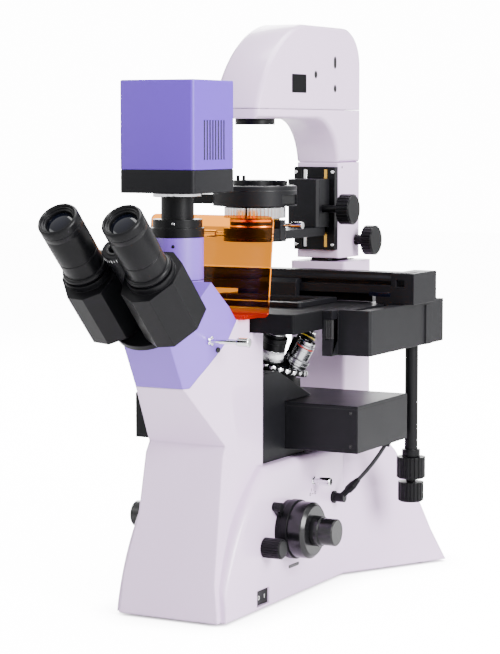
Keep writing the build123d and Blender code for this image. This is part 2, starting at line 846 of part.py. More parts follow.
# INNER HOUSING AND FLUORESCENCE UNIT
with BuildPart() as inner_housing:
    with BuildSketch(Plane.YZ):
        with BuildLine():
            Polyline(
                (column_rear, body_top), (column_rear, housing_top), (housing_shoulder, housing_top),
                (housing_tail, lamp_top + face_gap), (lamp_front, lamp_top + face_gap),
                (lamp_front, lamp_bottom), (20.0, lamp_bottom), (20.0, body_top), close=True,
            )
        make_face()
    extrude(amount=housing_half, both=True)
    front_edges = inner_housing.edges().filter_by(Axis.Z).sort_by(Axis.Y)[0:2]
    fillet(front_edges, radius=8.0)
    inner = housing_half - housing_wall
    slide_front = housing_shoulder - 2
    with BuildSketch(Plane.XY.offset(body_top + 3)):
        with Locations((0, column_rear + housing_wall)):
            Rectangle(
                2 * inner, lamp_front - 3 - column_rear - housing_wall, align=(Align.CENTER, Align.MIN)
            )
    extrude(amount=housing_top - body_top - 3 - 3, mode=Mode.SUBTRACT)
    with BuildSketch(Plane.XY.offset(lamp_top + 2.3)):
        with Locations((0, slide_front)):
            Rectangle(2 * inner, housing_tail + 30 - slide_front, align=(Align.CENTER, Align.MIN))
    extrude(amount=60, mode=Mode.SUBTRACT)
    with BuildSketch(Plane.XY.offset(body_top)):
        with Locations((0, (guide_front + guide_rear) / 2)):
            Rectangle(2 * (guide_half + slide_play), guide_thick + 2 * slide_play)
        Circle(14.0)
    extrude(amount=lamp_top + 10 - body_top, mode=Mode.SUBTRACT)

lead_points = [Vector(*point) for point in lead_route]
with BuildPart() as fluorescence_unit:
    with BuildSketch(upright(0, (lamp_front + lamp_rear) / 2, lamp_bottom)):
        Rectangle(2 * lamp_half, lamp_rear - lamp_front)
    extrude(amount=lamp_top - lamp_bottom)
    chamfer(fluorescence_unit.edges(), length=0.6)
    with BuildSketch(upright(0, (lamp_front + lamp_rear) / 2, lamp_bottom + lamp_wall)):
        Rectangle(2 * (lamp_half - lamp_wall), lamp_rear - lamp_front - 2 * lamp_wall)
    extrude(amount=lamp_top - lamp_bottom - 2 * lamp_wall, mode=Mode.SUBTRACT)
    with BuildSketch(Plane.XY.offset(lamp_bottom)):
        Circle(12.0)
    extrude(amount=lamp_top - lamp_bottom, mode=Mode.SUBTRACT)
    # gland of the lamp lead
    with BuildSketch(Plane(origin=lead_points[-1], z_dir=lead_points[-1] - lead_points[-2])):
        Circle(gland_r)
    extrude(amount=gland_length)

# NOSEPIECE
tilt = radians(turret_tilt)
turn = radians(turret_turn)
lean = Vector(sin(tilt) * cos(turn), sin(tilt) * sin(turn), cos(tilt))
downhill = Vector(cos(tilt) * cos(turn), cos(tilt) * sin(turn), -sin(tilt))
turret_plane = Plane(origin=Vector(0, 0, seat_z) + downhill * seat_r, x_dir=-downhill, z_dir=lean)


def seat_plane(index):
    """The seat of one objective: its origin on the turret's face, its normal along the objective."""
    turned = turret_plane.rotated((0, 0, index * 360 / objective_count))
    return Plane(
        origin=turned.from_local_coords((seat_r, 0, 0)),
        x_dir=turned.y_dir,
        z_dir=turned.z_dir * cos(tilt) + turned.x_dir * sin(tilt),
    )


seats = [seat_plane(index) for index in range(objective_count)]
rim_drop = (turret_r - seat_r) * tan(tilt)
with BuildPart() as turret:
    turret_side = Plane(origin=turret_plane.origin, x_dir=turret_plane.x_dir, z_dir=-turret_plane.y_dir)
    with BuildSketch(turret_side):
        with BuildLine():
            Polyline(
                (0, (seat_r - 8) * tan(tilt)), (8, (seat_r - 8) * tan(tilt)), (turret_r - 1.5, -rim_drop),
                (turret_r, -rim_drop - 1.5), (turret_r, -turret_depth + 1), (turret_r - 1, -turret_depth),
                (pivot_r, -turret_depth), (pivot_r, -turret_depth - pivot_length),
                (0, -turret_depth - pivot_length), close=True,
            )
        make_face()
    revolve(axis=Axis(turret_plane.origin, turret_plane.z_dir))
    with BuildSketch(turret_plane):
        with PolarLocations(turret_r + rim_flute_r / 2, rim_flutes):
            Circle(rim_flute_r)
    extrude(amount=2 * turret_depth, both=True, mode=Mode.SUBTRACT)
    for seat in seats:
        with BuildSketch(seat):
            Circle(thread_r + running)
        extrude(amount=-thread_length - 0.5, mode=Mode.SUBTRACT)
        with BuildSketch(seat):
            Circle(8.0)
        extrude(amount=-20, mode=Mode.SUBTRACT)
        with BuildSketch(seat):
            Circle(13.0)
        extrude(amount=10, mode=Mode.SUBTRACT)



def objective(seat, steps, bore):
    """An objective: its thread in the seat, then barrels of (radius, end) above it."""
    start = 0.0
    barrels = [(thread_r, -thread_length, start)]
    for radius, end in steps:
        barrels.append((radius, start, end))
        start = end
    return stepped(seat, barrels, bore)


objective_20x = objective(seats[0], [(12.0, 14), (11.0, 27), (9.5, 36), (7.0, 41.5)], 4.0)
objective_40x = objective(seats[1], [(12.0, 20), (12.4, 26), (10.0, 37), (6.0, 43)], 3.0)
objective_4x = objective(seats[2], [(11.0, 7), (12.0, 22), (10.5, 29)], 7.0)
objective_10x = objective(seats[3], [(11.5, 12), (12.0, 24), (9.5, 33), (7.5, 37)], 5.0)
objective_60x = objective(seats[4], [(12.0, 16), (12.4, 30), (9.0, 39), (5.5, 43)], 2.0)

arm_low = lamp_top + 8.0
with BuildPart() as focus_carrier:
    with BuildSketch(Plane.XY.offset(45.0)):
        with Locations((0, (guide_front + guide_rear) / 2)):
            Rectangle(2 * guide_half, guide_thick)
    extrude(amount=arm_low + 10 - 45.0)
    with BuildSketch(Plane.XY.offset(arm_low)):
        with BuildLine():
            Polyline(
                (-guide_half, guide_front), (guide_half, guide_front), (38.0, -8.0), (38.0, 28.0),
                (4.0, 32.0), (-guide_half, 10.0), close=True,
            )
        make_face()
    extrude(amount=10)
    with BuildSketch(turret_plane.offset(-turret_depth - face_gap)):
        Circle(24.0)
    extrude(amount=-14)
    with BuildSketch(turret_plane.offset(-turret_depth - face_gap)):
        Circle(pivot_r + running)
    extrude(amount=-pivot_length - 1, mode=Mode.SUBTRACT)
    with BuildSketch(Plane.XY.offset(arm_low - 5)):
        Circle(8.5)
    extrude(amount=40, mode=Mode.SUBTRACT)

# FOCUS DRIVE
lock_start = body_half + face_gap
tension_start = lock_start + lock_width + face_gap
coarse_start = tension_start + tension_width + face_gap
coarse_end = coarse_start + coarse_length
fine_end = coarse_end + face_gap + fine_length


def coarse_knob(side, start, sleeve_from, sleeve_to):
    """A coarse knob with its sleeve, which carries the pinion."""
    with BuildPart() as knob:
        with BuildSketch(along_x(focus_y, focus_z, side * start)):
            Circle(coarse_r)
        extrude(amount=side * (coarse_end - start))
        outer = knob.faces().sort_by(Axis.X)[-1 if side > 0 else 0]
        chamfer(outer.edges(), length=coarse_bevel)
        with BuildSketch(along_x(focus_y, focus_z, side * sleeve_from)):
            Circle(sleeve_r)
        extrude(amount=side * (sleeve_to - sleeve_from))
        if side < 0:
            with BuildSketch(along_x(focus_y, focus_z, -9)):
                Circle(pinion_r)
            extrude(amount=18)
        with BuildSketch(along_x(focus_y, focus_z, -fine_end)):
            Circle(fine_shaft_r + running)
        extrude(amount=2 * fine_end, mode=Mode.SUBTRACT)
    return knob


coarse_knob_right = coarse_knob(1, coarse_start, 25.0, coarse_start + 5)
coarse_knob_left = coarse_knob(-1, body_half + face_gap, -25.0 + face_gap, body_half + 5)


def fine_knob(side):
    """A stepped fine knob."""
    start = coarse_end + face_gap
    return stepped(
        along_x(focus_y, focus_z) if side > 0 else Plane(
            origin=(0, focus_y, focus_z), x_dir=(0, -1, 0), z_dir=(-1, 0, 0)),
        [
            (fine_r + 1.6, start, start + 8),
            (fine_r, start + 8, start + fine_length - 0.8),
            (fine_r - 0.8, start + fine_length - 0.8, start + fine_length),
        ],
    )


with BuildPart() as fine_knob_right:
    add(fine_knob(1).part)
    with BuildSketch(along_x(focus_y, focus_z, -coarse_end - face_gap)):
        Circle(fine_shaft_r)
    extrude(amount=2 * (coarse_end + face_gap) + 4)
fine_knob_left = fine_knob(-1)

tension_ring = stepped(
    along_x(focus_y, focus_z),
    [(tension_r, tension_start, tension_start + tension_width)],
    sleeve_r + running,
)
with BuildPart() as lock_lever:
    with BuildSketch(along_x(focus_y, focus_z, lock_start)):
        Circle(tension_r - 1)
        with Locations(Location((0, 0), lock_angle)):
            Rectangle(lock_reach, 8.0, align=(Align.MIN, Align.CENTER))
        Circle(sleeve_r + running, mode=Mode.SUBTRACT)
    extrude(amount=lock_width)
    with BuildSketch(along_x(focus_y, focus_z, lock_start)):
        with PolarLocations(lock_reach, 1, start_angle=lock_angle):
            Circle(4.6)
    extrude(amount=lock_width + 4)

with BuildPart() as brightness_knob:
    add(knurled(along_x(dimmer_y, dimmer_z, body_half + face_gap), dimmer_r, dimmer_length, 24, 0.7).part)
    with BuildSketch(along_x(dimmer_y, dimmer_z, body_half - casting)):
        Circle(3.0)
    extrude(amount=casting + 2)

rocker_z = foot_height + 3 + rocker_height / 2
with BuildPart() as power_rocker:
    with BuildSketch(upright(body_half - 4, rocker_y, rocker_z - rocker_height / 2)):
        with BuildLine():
            Polyline(
                (2.5, -rocker_length / 2 + 0.6), (1.2, 0), (2.5, rocker_length / 2 - 0.6),
                (-1.0, rocker_length / 2 - 0.6), (-2.6, 0), (-1.0, -rocker_length / 2 + 0.6), close=True,
            )
        make_face()
    extrude(amount=rocker_height)

with BuildPart() as power_inlet:
    with BuildSketch(Plane.XZ.offset(-rear_face)):
        with Locations((inlet_x, inlet_z)):
            RectangleRounded(inlet_width + 6, inlet_height + 5, 2)
    extrude(amount=-2)
    with BuildSketch(Plane.XZ.offset(-rear_face)):
        with Locations((inlet_x, inlet_z)):
            Rectangle(inlet_width - 1, inlet_height - 1)
    extrude(amount=18)
    with BuildSketch(Plane.XZ.offset(-rear_face - 2)):
        with Locations((inlet_x - 6, inlet_z)):
            RectangleRounded(26, 18, 3)
    extrude(amount=16, mode=Mode.SUBTRACT)

# ARM
with BuildPart() as hinge_bracket:
    with BuildSketch(upright(0, 0, block_top)):
        with Locations((0, 160)):
            Rectangle(32, rear_face - 168, align=(Align.CENTER, Align.MIN))
    extrude(amount=bracket_plate)
    with BuildSketch(upright(0, 0, block_top)):
        with Locations((0, 150)):
            Rectangle(2 * lug_half, 11, align=(Align.CENTER, Align.MIN))
    extrude(amount=arm_bottom - block_top - face_gap)
    with BuildSketch(along_x(hinge_y, hinge_z, -lug_half)):
        Circle(lug_r)
        Rectangle(2 * lug_r, hinge_z - block_top, align=(Align.CENTER, Align.MAX))
        Circle(hinge_r + running, mode=Mode.SUBTRACT)
    extrude(amount=2 * lug_half)

with BuildPart() as arm_pillar:
    with BuildSketch(upright(0, (block_front + arm_rear) / 2, arm_bottom)):
        RectangleRounded(2 * arm_half, arm_rear - block_front, 4.0)
    extrude(amount=arm_seam - arm_bottom)
    with BuildSketch(along_x(0, 0, -lug_half - face_gap)):
        with Locations((hinge_y - lug_r - face_gap, arm_bottom)):
            Rectangle(60, hinge_z + lug_r + face_gap - arm_bottom, align=(Align.MIN, Align.MIN))
    extrude(amount=2 * (lug_half + face_gap), mode=Mode.SUBTRACT)
    with BuildSketch(along_x(hinge_y, hinge_z, -arm_half)):
        Circle(hinge_r + running)
    extrude(amount=2 * arm_half, mode=Mode.SUBTRACT)
    with BuildSketch(upright(0, (block_front + arm_rear) / 2, hinge_z + lug_r + 10)):
        Rectangle(2 * (arm_half - 7), arm_rear - block_front - 14)
    extrude(amount=arm_seam, mode=Mode.SUBTRACT)

with BuildPart() as lamp_form:
    with BuildSketch(Plane.YZ):
        with BuildLine():
            Line((nose_front, nose_z), (nose_front, cover_seam))
            ThreePointArc((nose_front, cover_seam), (-12.0, arm_top - 37.5), (60.0, arm_top))
            Line((60.0, arm_top), (158.0, arm_top))
            TangentArc((158.0, arm_top), (arm_rear, arm_top - 40.0), tangent=(1, 0))
            Line((arm_rear, arm_top - 40.0), (arm_rear, arm_seam))
            Line((arm_rear, arm_seam), (block_front, arm_seam))
            ThreePointArc((block_front, arm_seam), (block_front - 16, nose_z - 14), (96.0, nose_z))
            Line((96.0, nose_z), (nose_front, nose_z))
        make_face()
    extrude(amount=arm_half - sum(depth for depth, taper in arm_bevels), both=True)
    for side in (0, -1):
        for depth, taper in arm_bevels:
            face = lamp_form.faces().filter_by(Axis.X).sort_by(Axis.X)[side]
            extrude(face, amount=depth, taper=taper)

with BuildPart() as lamp_head:
    add(lamp_form.part)
    with BuildSketch(upright(0, 0, cover_seam - 0.4)):
        Rectangle(200, 600)
    extrude(amount=200, mode=Mode.SUBTRACT)
    with BuildSketch(upright(0, 0, nose_z + cover_wall)):
        with Locations((0, (nose_front + arm_rear) / 2)):
            Rectangle(2 * (arm_half - cover_wall), arm_rear - nose_front - 2 * cover_wall)
    extrude(amount=40, mode=Mode.SUBTRACT)
    with BuildSketch(upright(0, 0, nose_z)):
        Circle(14.0)
    extrude(amount=20, mode=Mode.SUBTRACT)

with BuildPart() as lamp_cover:
    add(lamp_form.part)
    with BuildSketch(upright(0, 0, cover_seam)):
        Rectangle(200, 600)
    extrude(amount=-200, mode=Mode.SUBTRACT)
    with BuildSketch(Plane.YZ):
        with BuildLine():
            Polyline(
                (nose_front + 6, cover_seam), (-6.0, arm_top - 41.5), (58.0, arm_top - 6),
                (156.0, arm_top - 6), (181.0, arm_top - 16.5), (arm_rear - 6, arm_top - 40.5),
                (arm_rear - 6, cover_seam), close=True,
            )
        make_face()
    extrude(amount=arm_half - cover_wall, both=True, mode=Mode.SUBTRACT)
    with BuildSketch(along_x(0, 0, arm_half)):
        with Locations((88.0, nose_z + 45.7), (134.5, nose_z + 32.0)):
            Circle(4.0)
        with Locations((134.3, nose_z + 59.3)):
            SlotOverall(13.0, 7.5, rotation=90)
    extrude(amount=-cover_wall, mode=Mode.SUBTRACT)
    with BuildSketch(Plane.XZ.offset(-102.0)):
        with Locations((0, arm_top)):
            Rectangle(2 * arm_half, 2.0)
    extrude(amount=1.0, mode=Mode.SUBTRACT)

field_lens = stepped(
    upright(0, 0), [(field_r, nose_z - field_drop, nose_z), (13.9, nose_z, nose_z + 16)], 11.0
)

with BuildPart() as rack_plate:
    with BuildSketch(upright(0, 0, rack_bottom)):
        with Locations((0, block_front)):
            Rectangle(2 * rack_half, rack_base, align=(Align.CENTER, Align.MAX))
        with Locations((-rack_half, rack_front), (rack_half - rack_rail, rack_front)):
            Rectangle(rack_rail, block_front - rack_front, align=(Align.MIN, Align.MIN))
    extrude(amount=rack_top - rack_bottom)

with BuildPart() as tilt_lock_knob:
    add(knurled(along_x(hinge_y, hinge_z, arm_half + 12.2), tilt_knob_r, tilt_knob_length, 24, 0.9).part)
    with BuildSketch(along_x(hinge_y, hinge_z, -arm_half)):
        Circle(hinge_r)
    extrude(amount=2 * arm_half + 13)

# CONDENSER
tongue_half = rack_half - rack_rail - slide_play
with BuildPart() as condenser_carrier:
    with BuildSketch(upright(0, 0, carrier_bottom)):
        with BuildLine():
            Polyline(
                (-carrier_half + 3, carrier_front), (carrier_half - 3, carrier_front),
                (carrier_half, carrier_front + 3), (carrier_half, carrier_rear),
                (tongue_half, carrier_rear),
                (tongue_half, block_front - rack_base - face_gap),
                (-tongue_half, block_front - rack_base - face_gap), (-tongue_half, carrier_rear),
                (-carrier_half, carrier_rear), (-carrier_half, carrier_front + 3), close=True,
            )
        make_face()
    extrude(amount=carrier_top - carrier_bottom)
    with BuildSketch(along_x(focus_knob_y, focus_knob_z, 0)):
        Circle(condenser_shaft_r + running)
    extrude(amount=carrier_half, mode=Mode.SUBTRACT)

with BuildPart() as condenser_mount:
    with BuildSketch(upright(0, 0, mount_ring_bottom)):
        with Locations((0, 0)):
            Rectangle(2 * carrier_half - 5, carrier_rear - 6, align=(Align.CENTER, Align.MIN))
    extrude(amount=carrier_bottom - mount_ring_bottom)
    with BuildSketch(upright(0, 0, mount_ring_bottom)):
        Circle(mount_ring_r)
    extrude(amount=mount_ring_top - mount_ring_bottom)
    with BuildSketch(upright(0, 0, mount_ring_bottom)):
        Circle(neck_r)
    extrude(amount=mount_ring_top - mount_ring_bottom, mode=Mode.SUBTRACT)
    # post of the right-hand centring screw
    with BuildSketch(upright(neck_r + face_gap, 0, mount_ring_bottom)):
        Rectangle(mount_ring_r - neck_r, 11, align=(Align.MIN, Align.CENTER))
    extrude(amount=right_screw_z + 5 - mount_ring_bottom)
    for side, height in ((-1, left_screw_z), (1, right_screw_z)):
        with BuildSketch(along_x(0, height, side * neck_r)):
            Circle(centring_r + running)
        extrude(amount=side * 12, mode=Mode.SUBTRACT)

condenser_body = stepped(
    upright(0, 0),
    [
        (neck_r, mount_ring_bottom + 1, neck_top),
        (neck_r - 4, neck_top, aperture_top + face_gap),
        (drum_r, aperture_top + face_gap, drum_top),
    ],
    15.0,
)
with BuildPart() as condenser_drum:
    add(condenser_body.part)
    drum_face = condenser_drum.faces().filter_by(Axis.Z).sort_by(Axis.Z)[-1]
    chamfer(drum_face.edges().sort_by(SortBy.LENGTH)[-1], length=1.0)
    with BuildSketch(along_x(0, slider_z, -drum_r)):
        Rectangle(2 * (slider_half + slide_play), slider_thick + 2 * slide_play)
    extrude(amount=2 * drum_r, mode=Mode.SUBTRACT)
    with BuildSketch(upright(filter_pivot_x, 0, drum_top)):
        Circle(2.5 + running)
    extrude(amount=-6, mode=Mode.SUBTRACT)

aperture_ring = knurled(
    upright(0, 0, neck_top + face_gap), aperture_r, aperture_top - neck_top - face_gap, 48, 0.6,
    neck_r - 4 + running,
)

with BuildPart() as phase_slider:
    with BuildSketch(upright(slider_left, 0, slider_z - slider_thick / 2)):
        Rectangle(slider_right - slider_left, 2 * slider_half, align=(Align.MIN, Align.CENTER))
        with Locations((-slider_left, 0), (-slider_left - 36, 0)):
            Circle(11.0, mode=Mode.SUBTRACT)
    extrude(amount=slider_thick)

with BuildPart() as condenser_focus_knob:
    knob_face = along_x(focus_knob_y, focus_knob_z, focus_knob_x)
    add(knurled(knob_face, focus_knob_r, focus_knob_length, 24, 0.9).part)
    with BuildSketch(along_x(focus_knob_y, focus_knob_z, 1.0)):
        Circle(condenser_shaft_r)
    extrude(amount=focus_knob_x)

with BuildPart() as filter_holder:
    with BuildSketch(upright(0, 0, drum_top + face_gap)):
        Circle(filter_r)
        with Locations((filter_pivot_x, 0)):
            Circle(5.0)
        with Locations((0, 0)):
            Rectangle(filter_pivot_x, 8, align=(Align.MIN, Align.CENTER))
        Circle(15.5, mode=Mode.SUBTRACT)
    extrude(amount=filter_thick)
    with BuildSketch(upright(0, 0, drum_top + face_gap + filter_thick)):
        with Locations((-12.0, -14.0), (-3.0, -18.5)):
            Circle(1.6)
    extrude(amount=5)
    with BuildSketch(upright(filter_pivot_x, 0, drum_top - 5)):
        Circle(2.5)
    extrude(amount=8)

with BuildPart() as centring_screws:
    for side, height, grip_start, tip in ((-1, left_screw_z, 44.0, 58.0), (1, right_screw_z, 42.0, 54.0)):
        for radius, start, end in ((centring_r, neck_r + 0.1, grip_start), (3.6, grip_start, tip)):
            with BuildSketch(along_x(0, height, side * start)):
                Circle(radius)
            extrude(amount=side * (end - start))

# LAMP LEAD
lead_start = lead_points[0]
boot_length = 14.6
with BuildPart() as lead_plug:
    with BuildSketch(along_x(plug_y, plug_z, body_half - 5.8)):
        Circle(plug_r - 0.1)
    extrude(amount=5.8)
    with BuildSketch(along_x(plug_y, plug_z, body_half)):
        Circle(plug_r + 1.4)
    extrude(amount=2.5)
    with BuildSketch(along_x(plug_y, plug_z, body_half + 2.5)):
        Circle(4.8)
    extrude(amount=11)
    # boot that turns up to the lead
    with BuildSketch(Plane(origin=lead_start, z_dir=lead_start - lead_points[1])):
        Circle(3.4)
    extrude(amount=boot_length)

lead_radii = []
for before, corner, after in zip(lead_points, lead_points[1:], lead_points[2:]):
    turn_angle = radians((corner - before).get_angle(after - corner))
    shorter = min((corner - before).length, (after - corner).length)
    lead_radii.append(0.45 * shorter / tan(turn_angle / 2))
with BuildPart() as lamp_lead:
    with BuildLine() as lead_line:
        FilletPolyline(*lead_points, radius=lead_radii)
    with BuildSketch(Plane(origin=lead_line.line @ 0, z_dir=lead_line.line % 0)):
        Circle(lead_r)
    sweep(path=lead_line.line)
lead_length = sum(edge.length for edge in lead_line.edges())
print("lead radii", [round(radius, 1) for radius in lead_radii])
print("lead volume", round(lamp_lead.part.volume, 1))
print("section times length", round(pi * lead_r ** 2 * lead_length, 1))
pieces = {
    "stand_body": stand_body,
    "base_plate": base_plate,
    "rubber_feet": rubber_feet,
    "inner_housing": inner_housing,
    "fluorescence_unit": fluorescence_unit,
    "head_housing": head_housing,
    "trinocular_tube": trinocular_tube,
    "camera_adapter": camera_adapter,
    "camera_base": camera_base,
    "camera_housing": camera_housing,
    "binocular_flange": binocular_flange,
    "prism_housing_left": prism_left,
    "prism_housing_right": prism_right,
    "eyepiece_left": eyepiece_left,
    "eyepiece_right": eyepiece_right,
    "head_pull_rod": head_pull_rod,
    "body_pull_rod": body_pull_rod,
    "amber_shield": amber_shield,
    "shield_screws": shield_screws,
    "stage_plate": stage_plate,
    "stage_insert": stage_insert,
    "stage_drive_box": drive_box,
    "stage_drive_post": drive_post,
    "stage_y_knob": stage_y_knob,
    "stage_x_knob": stage_x_knob,
    "specimen_bar": specimen_bar,
    "specimen_holder": specimen_holder,
    "nosepiece_turret": turret,
    "objective_4x": objective_4x,
    "objective_10x": objective_10x,
    "objective_20x": objective_20x,
    "objective_40x": objective_40x,
    "objective_60x": objective_60x,
    "focus_carrier": focus_carrier,
    "coarse_knob_right": coarse_knob_right,
    "coarse_knob_left": coarse_knob_left,
    "fine_knob_right": fine_knob_right,
    "fine_knob_left": fine_knob_left,
    "tension_ring": tension_ring,
    "lock_lever": lock_lever,
    "brightness_knob": brightness_knob,
    "power_rocker": power_rocker,
    "power_inlet": power_inlet,
    "hinge_bracket": hinge_bracket,
    "arm_pillar": arm_pillar,
    "lamp_head": lamp_head,
    "lamp_cover": lamp_cover,
    "field_lens": field_lens,
    "rack_plate": rack_plate,
    "tilt_lock_knob": tilt_lock_knob,
    "condenser_carrier": condenser_carrier,
    "condenser_mount": condenser_mount,
    "condenser_drum": condenser_drum,
    "aperture_ring": aperture_ring,
    "phase_slider": phase_slider,
    "condenser_focus_knob": condenser_focus_knob,
    "filter_holder": filter_holder,
    "centring_screws": centring_screws,
    "lead_plug": lead_plug,
    "lamp_lead": lamp_lead,
}
for name, piece in pieces.items():
    piece.part.label = name
    export_step(piece.part, f"parts/{name}.step")
print(len(pieces), "pieces")
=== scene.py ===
import json
from math import cos, pi, radians, sin, sqrt, tau

import bmesh
import bpy
import numpy as np
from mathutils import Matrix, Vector


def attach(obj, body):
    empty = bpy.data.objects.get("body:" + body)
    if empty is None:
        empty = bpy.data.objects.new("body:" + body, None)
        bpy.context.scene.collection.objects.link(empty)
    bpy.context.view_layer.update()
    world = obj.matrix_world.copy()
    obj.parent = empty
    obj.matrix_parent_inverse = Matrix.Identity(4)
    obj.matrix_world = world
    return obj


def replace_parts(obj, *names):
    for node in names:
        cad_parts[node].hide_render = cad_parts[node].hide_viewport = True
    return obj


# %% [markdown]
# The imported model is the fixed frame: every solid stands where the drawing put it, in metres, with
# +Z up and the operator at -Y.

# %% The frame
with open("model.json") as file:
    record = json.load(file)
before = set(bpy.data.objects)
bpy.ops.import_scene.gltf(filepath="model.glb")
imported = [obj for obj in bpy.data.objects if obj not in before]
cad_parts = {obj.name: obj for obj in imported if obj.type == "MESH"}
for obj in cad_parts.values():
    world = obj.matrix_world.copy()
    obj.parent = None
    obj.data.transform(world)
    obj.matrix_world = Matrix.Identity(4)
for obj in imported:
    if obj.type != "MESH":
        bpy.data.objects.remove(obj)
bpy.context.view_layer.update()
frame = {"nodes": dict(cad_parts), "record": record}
nodes = frame["nodes"]

# %% [markdown]
# The photograph was taken from the operator's right, a little above the bench. Its viewing angle
# was solved from the edges of the stand, so the camera stands on that line, with a long lens that
# keeps the stand's uprights nearly parallel.

# %% Camera
AZIMUTH = radians(27.75)
PITCH = radians(5.38)
CAMERA_PLACE = (0.989, -1.8906, 0.4681)
LENS_MM = 115.98
SENSOR_MM = 36.0

camera = bpy.data.objects.new("camera", bpy.data.cameras.new("camera"))
camera.data.lens = LENS_MM
camera.data.sensor_width = SENSOR_MM
camera.location = CAMERA_PLACE
look = Vector((-sin(AZIMUTH) * cos(PITCH), cos(AZIMUTH) * cos(PITCH), -sin(PITCH)))
camera.rotation_euler = look.to_track_quat("-Z", "Y").to_euler()
bpy.context.scene.collection.objects.link(camera)
bpy.context.scene.camera = camera
print("camera looks along", [round(c, 3) for c in look])

# %% [markdown]
# Every new surface is worked out as a grid of points: a shape is a function of two parameters, and
# the grid's rows and columns become quads. The helper below turns one grid into points and faces, a
# second one turns a profile about an axis, and a third gathers such surfaces into one piece. The
# last one makes a finished copy of a solid. A piece rides on the body of the solid that carries it.


# %% Surfaces on a grid
def grid_faces(rows, columns):
    """Quads between neighbouring points of a grid whose last column joins the first.
    Point (i, j) has the number i * columns + j."""
    i = np.arange(rows - 1)[:, None]
    j = np.arange(columns)[None, :]
    below, across = i + 1, (j + 1) % columns
    quads = [i * columns + j, i * columns + across, below * columns + across, below * columns + j]
    return np.stack([np.broadcast_to(q, (i.size, j.size)).ravel() for q in quads], axis=1)


STEEP = 0.9            # an axis whose unit vector rises more than this counts as upright
FLUTED_SHARE = 0.93    # flutes are cut only where the radius is above this share of the largest


def basis(axis):
    """Two unit vectors square to axis, and axis itself: a right-handed set."""
    w = np.array(axis, float)
    w /= np.linalg.norm(w)
    helper = np.array((0.0, 0.0, 1.0)) if abs(w[2]) < STEEP else np.array((1.0, 0.0, 0.0))
    u = np.cross(helper, w)
    u /= np.linalg.norm(u)
    return u, np.cross(w, u), w


def turned(profile, origin, axis, segments=64, flutes=0, flute_depth=0.0):
    """A profile of (radius, height) turned about an axis w, with u and v square to it:
    point = origin + radius cos a u + radius sin a v + height w.
    With flutes, the radius is less by flute_depth * (1 - |sin(flutes a / 2)|)."""
    u, v, w = basis(axis)
    profile = np.array(profile, float)
    angle = np.linspace(0, tau, segments, endpoint=False)[None, :, None]
    radius, height = profile[:, 0][:, None, None], profile[:, 1][:, None, None]
    if flutes:
        dip = flute_depth * (1 - np.abs(np.sin(flutes * angle / 2)))
        radius = radius - dip * (radius > radius.max() * FLUTED_SHARE)
    points = np.array(origin) + radius * (np.cos(angle) * u + np.sin(angle) * v) + height * w
    return points.reshape(-1, 3), grid_faces(len(profile), segments)


def outline_solid(outline, origin, u, v, depth):
    """A closed outline in the plane of u and v, and the same outline moved by the vector depth."""
    outline = np.array(outline, float)
    low = np.array(origin) + outline[:, :1] * np.array(u) + outline[:, 1:] * np.array(v)
    points = np.concatenate([low, low + np.array(depth)])
    count = len(outline)
    sides = grid_faces(2, count).tolist()
    return points, sides + [list(range(count))[::-1], list(range(count, 2 * count))]


body_of_node = {solid: body for body, members in frame["record"]["behaviour"]["bodies"].items()
                for solid in members}
POINT_GAP, CORNER_GAP = 1e-6, 2e-6    # metres within which points are one, on new pieces and solids
FLAT = radians(0.5)                   # the turn below which two faces of a solid are one flat face


def in_scene(name, data):
    """A new object at the origin of the scene."""
    made = bpy.data.objects.new(name, data)
    bpy.context.scene.collection.objects.link(made)
    return made


def piece_of(name, mesh, material, carrier, smooth, edge):
    """A mesh as a piece on the body of the solid carrier: shaded smooth below the angle smooth,
    with edges sharper than that rounded by edge metres."""
    mesh.shade_smooth()
    mesh.set_sharp_from_angle(angle=radians(smooth))
    piece = in_scene(name, mesh)
    piece.data.materials.append(material)
    if edge:
        bevel = piece.modifiers.new("rounded edges", "BEVEL")
        bevel.width = edge
        bevel.segments = 2
        bevel.limit_method = "ANGLE"
        bevel.angle_limit = radians(smooth)
        bevel.harden_normals = True
    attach(piece, body_of_node[carrier])
    return piece


def put(name, surfaces, material, carrier, smooth=35, edge=0.0):
    """One piece from several (points, faces) surfaces: doubles merged, faces turned outward."""
    points, faces, first = [], [], 0
    for surface_points, surface_faces in surfaces:
        points.append(surface_points)
        faces += [[int(n) + first for n in face] for face in surface_faces]
        first += len(surface_points)
    mesh = bpy.data.meshes.new(name)
    mesh.from_pydata(np.concatenate(points).tolist(), [], faces)
    shape = bmesh.new()
    shape.from_mesh(mesh)
    bmesh.ops.remove_doubles(shape, verts=shape.verts, dist=POINT_GAP)
    bmesh.ops.recalc_face_normals(shape, faces=shape.faces)
    shape.to_mesh(mesh)
    shape.free()
    return piece_of(name, mesh, material, carrier, smooth, edge)


def dress(solid, material, edge=0.0, smooth=32):
    """A finished copy of a solid: triangles merged into flat faces, rounded edges, smooth curves."""
    mesh = nodes[solid].data.copy()
    mesh.materials.clear()
    shape = bmesh.new()
    shape.from_mesh(mesh)
    bmesh.ops.remove_doubles(shape, verts=shape.verts, dist=CORNER_GAP)
    bmesh.ops.dissolve_limit(shape, angle_limit=FLAT, verts=shape.verts, edges=shape.edges)
    shape.to_mesh(mesh)
    shape.free()
    for attribute in [a for a in mesh.attributes if a.name == "custom_normal"]:
        mesh.attributes.remove(attribute)
    piece = piece_of("finished_" + solid, mesh, material, solid, smooth, edge)
    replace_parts(piece, solid)
    return piece


print(len(body_of_node), "solids have a body and a slot")
